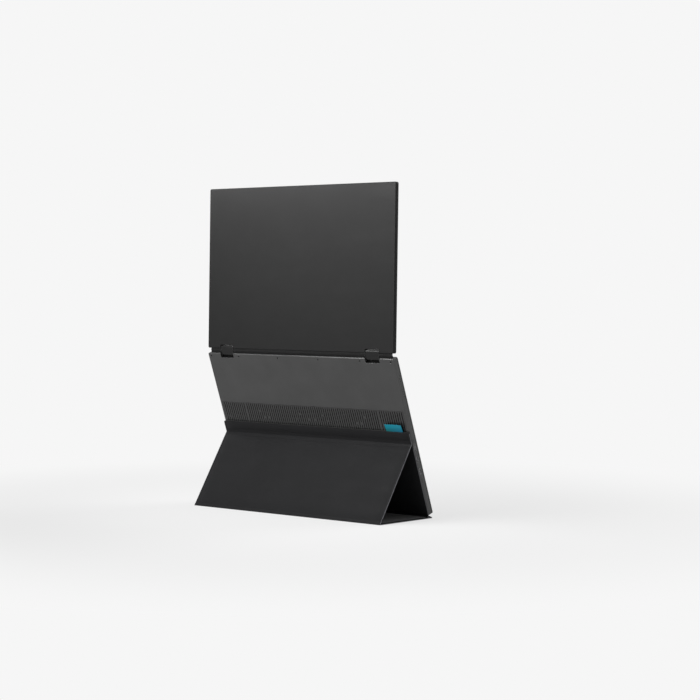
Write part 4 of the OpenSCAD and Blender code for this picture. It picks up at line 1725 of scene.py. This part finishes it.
@dataclass(frozen=True)
class Studio:
    """Pale floor, even light and the lamps."""

    backdrop: float = 0.922
    fill: float = 0.2
    floor_colour: float = 0.9
    floor_radius: float = 6.0
    floor_sides: int = 96
    floor_drop: float = 0.1 * MM
    speckle: float = 3.0
    speckle_share: float = 0.005
    fade_from: float = 0.28
    fade_to: float = 0.9
    near_share: float = 0.65
    lamps: tuple[Softbox, ...] = (
        Softbox("key", (0.15, 0.27, 0.57), (0.0, 0.03, 0.5), (0.8, 0.12), 3.6),
        Softbox("rear", (0.7, 1.3, 0.5), (0.0, 0.03, 0.2), (0.9, 0.3), 7.0),
        Softbox("top", (0.0, 0.1, 2.4), (0.0, 0.0, 0.0), (2.2, 2.2), 15.0),
        Softbox("front", (-0.5, -1.3, 1.0), (0.0, 0.0, 0.25), (0.9, 0.7), 8.0),
    )

    def build(self) -> None:
        """Builds the world, the floor and the lamps."""
        bpy.context.scene.view_settings.view_transform = "Standard"
        self.world()
        self.floor()
        for lamp in self.lamps:
            lamp.build()

    def seen(self, graph: Graph) -> Socket:
        """Tells the rays that show the backdrop: camera, mirrored and through glass.

        Args:
            graph: the graph.

        Returns:
            1 for such a ray, or 0.
        """
        rays = graph.node("LightPath").outputs
        mirrored = graph.math("MAXIMUM", rays["Is Glossy Ray"], rays["Is Transmission Ray"])
        return graph.math("MAXIMUM", rays["Is Camera Ray"], mirrored)

    def blend(
        self, graph: Graph, share: Socket, far: Node, near: Node, end: str
    ) -> None:
        """Mixes two shaders into the output.

        Args:
            graph: the graph.
            share: how much of the far one.
            far: the shader at 1.
            near: the shader at 0.
            end: the output's kind.
        """
        both = graph.node("MixShader")
        for socket, value in zip(both.inputs, (share, near.outputs[0], far.outputs[0])):
            graph.put(socket, value)
        graph.feed(graph.node(end), Surface=both.outputs[0])

    def world(self) -> None:
        """Builds the even light, which the camera sees as the pale backdrop."""
        world = bpy.data.worlds.new("studio")
        world.use_nodes = True
        bpy.context.scene.world = world
        graph = Graph(world.node_tree)
        graph.tree.nodes.clear()
        shown, light = graph.node("Background"), graph.node("Background")
        for back, strength in ((shown, self.backdrop), (light, self.fill)):
            back.inputs["Color"].default_value = (1, 1, 1, 1)
            back.inputs["Strength"].default_value = strength
        self.blend(graph, self.seen(graph), shown, light, "OutputWorld")

    def floor(self) -> None:
        """Builds the floor, which keeps the shadow and turns into the backdrop further out."""
        made = bpy.data.materials.new("studio_floor")
        made.use_nodes = True
        graph = Graph(made.node_tree)
        graph.tree.nodes.clear()
        matt, glow = graph.node("BsdfDiffuse"), graph.node("Emission")
        place = graph.node("TexCoord").outputs["Object"]
        speckle = graph.noise(place, self.speckle)
        shares = (1 - self.speckle_share, 1 + self.speckle_share)
        low, high = (grey(self.floor_colour * share) for share in shares)
        graph.feed(matt, Color=graph.mix(speckle, low, high))
        glow.inputs["Color"].default_value = (1, 1, 1, 1)
        glow.inputs["Strength"].default_value = self.backdrop
        away = graph.node("VectorMath", operation="LENGTH")
        graph.put(away.inputs[0], place)
        ring = (self.fade_from, self.fade_to)
        fade = graph.spread(away.outputs["Value"], ring, (self.near_share, 1.0), "SMOOTHSTEP")
        share = graph.math("MULTIPLY", fade, self.seen(graph))
        self.blend(graph, share, glow, matt, "OutputMaterial")
        bm = bmesh.new()
        sides = self.floor_sides
        bmesh.ops.create_circle(bm, cap_ends=True, radius=self.floor_radius, segments=sides)
        bmesh.ops.translate(bm, verts=bm.verts[:], vec=(0, 0, -self.floor_drop))
        mesh = bpy.data.meshes.new("floor")
        bm.to_mesh(mesh)
        bm.free()
        mesh.materials.append(made)
        floor = bpy.data.objects.new("floor", mesh)
        bpy.context.scene.collection.objects.link(floor)


def main() -> None:
    """Builds the camera, the sub-assemblies and the studio, and reports each piece."""
    logging.basicConfig(level=logging.INFO, format="%(name)s: %(message)s")
    Camera().build()
    for parts in dressed_parts():
        parts.dress()
    for assembly in (FoldingCover(), PullTab()):
        for piece in assembly.build():
            LOG.info("%s: %d faces", piece.name, len(piece.data.polygons))
    Studio().build()


if __name__ == "__main__":
    main()
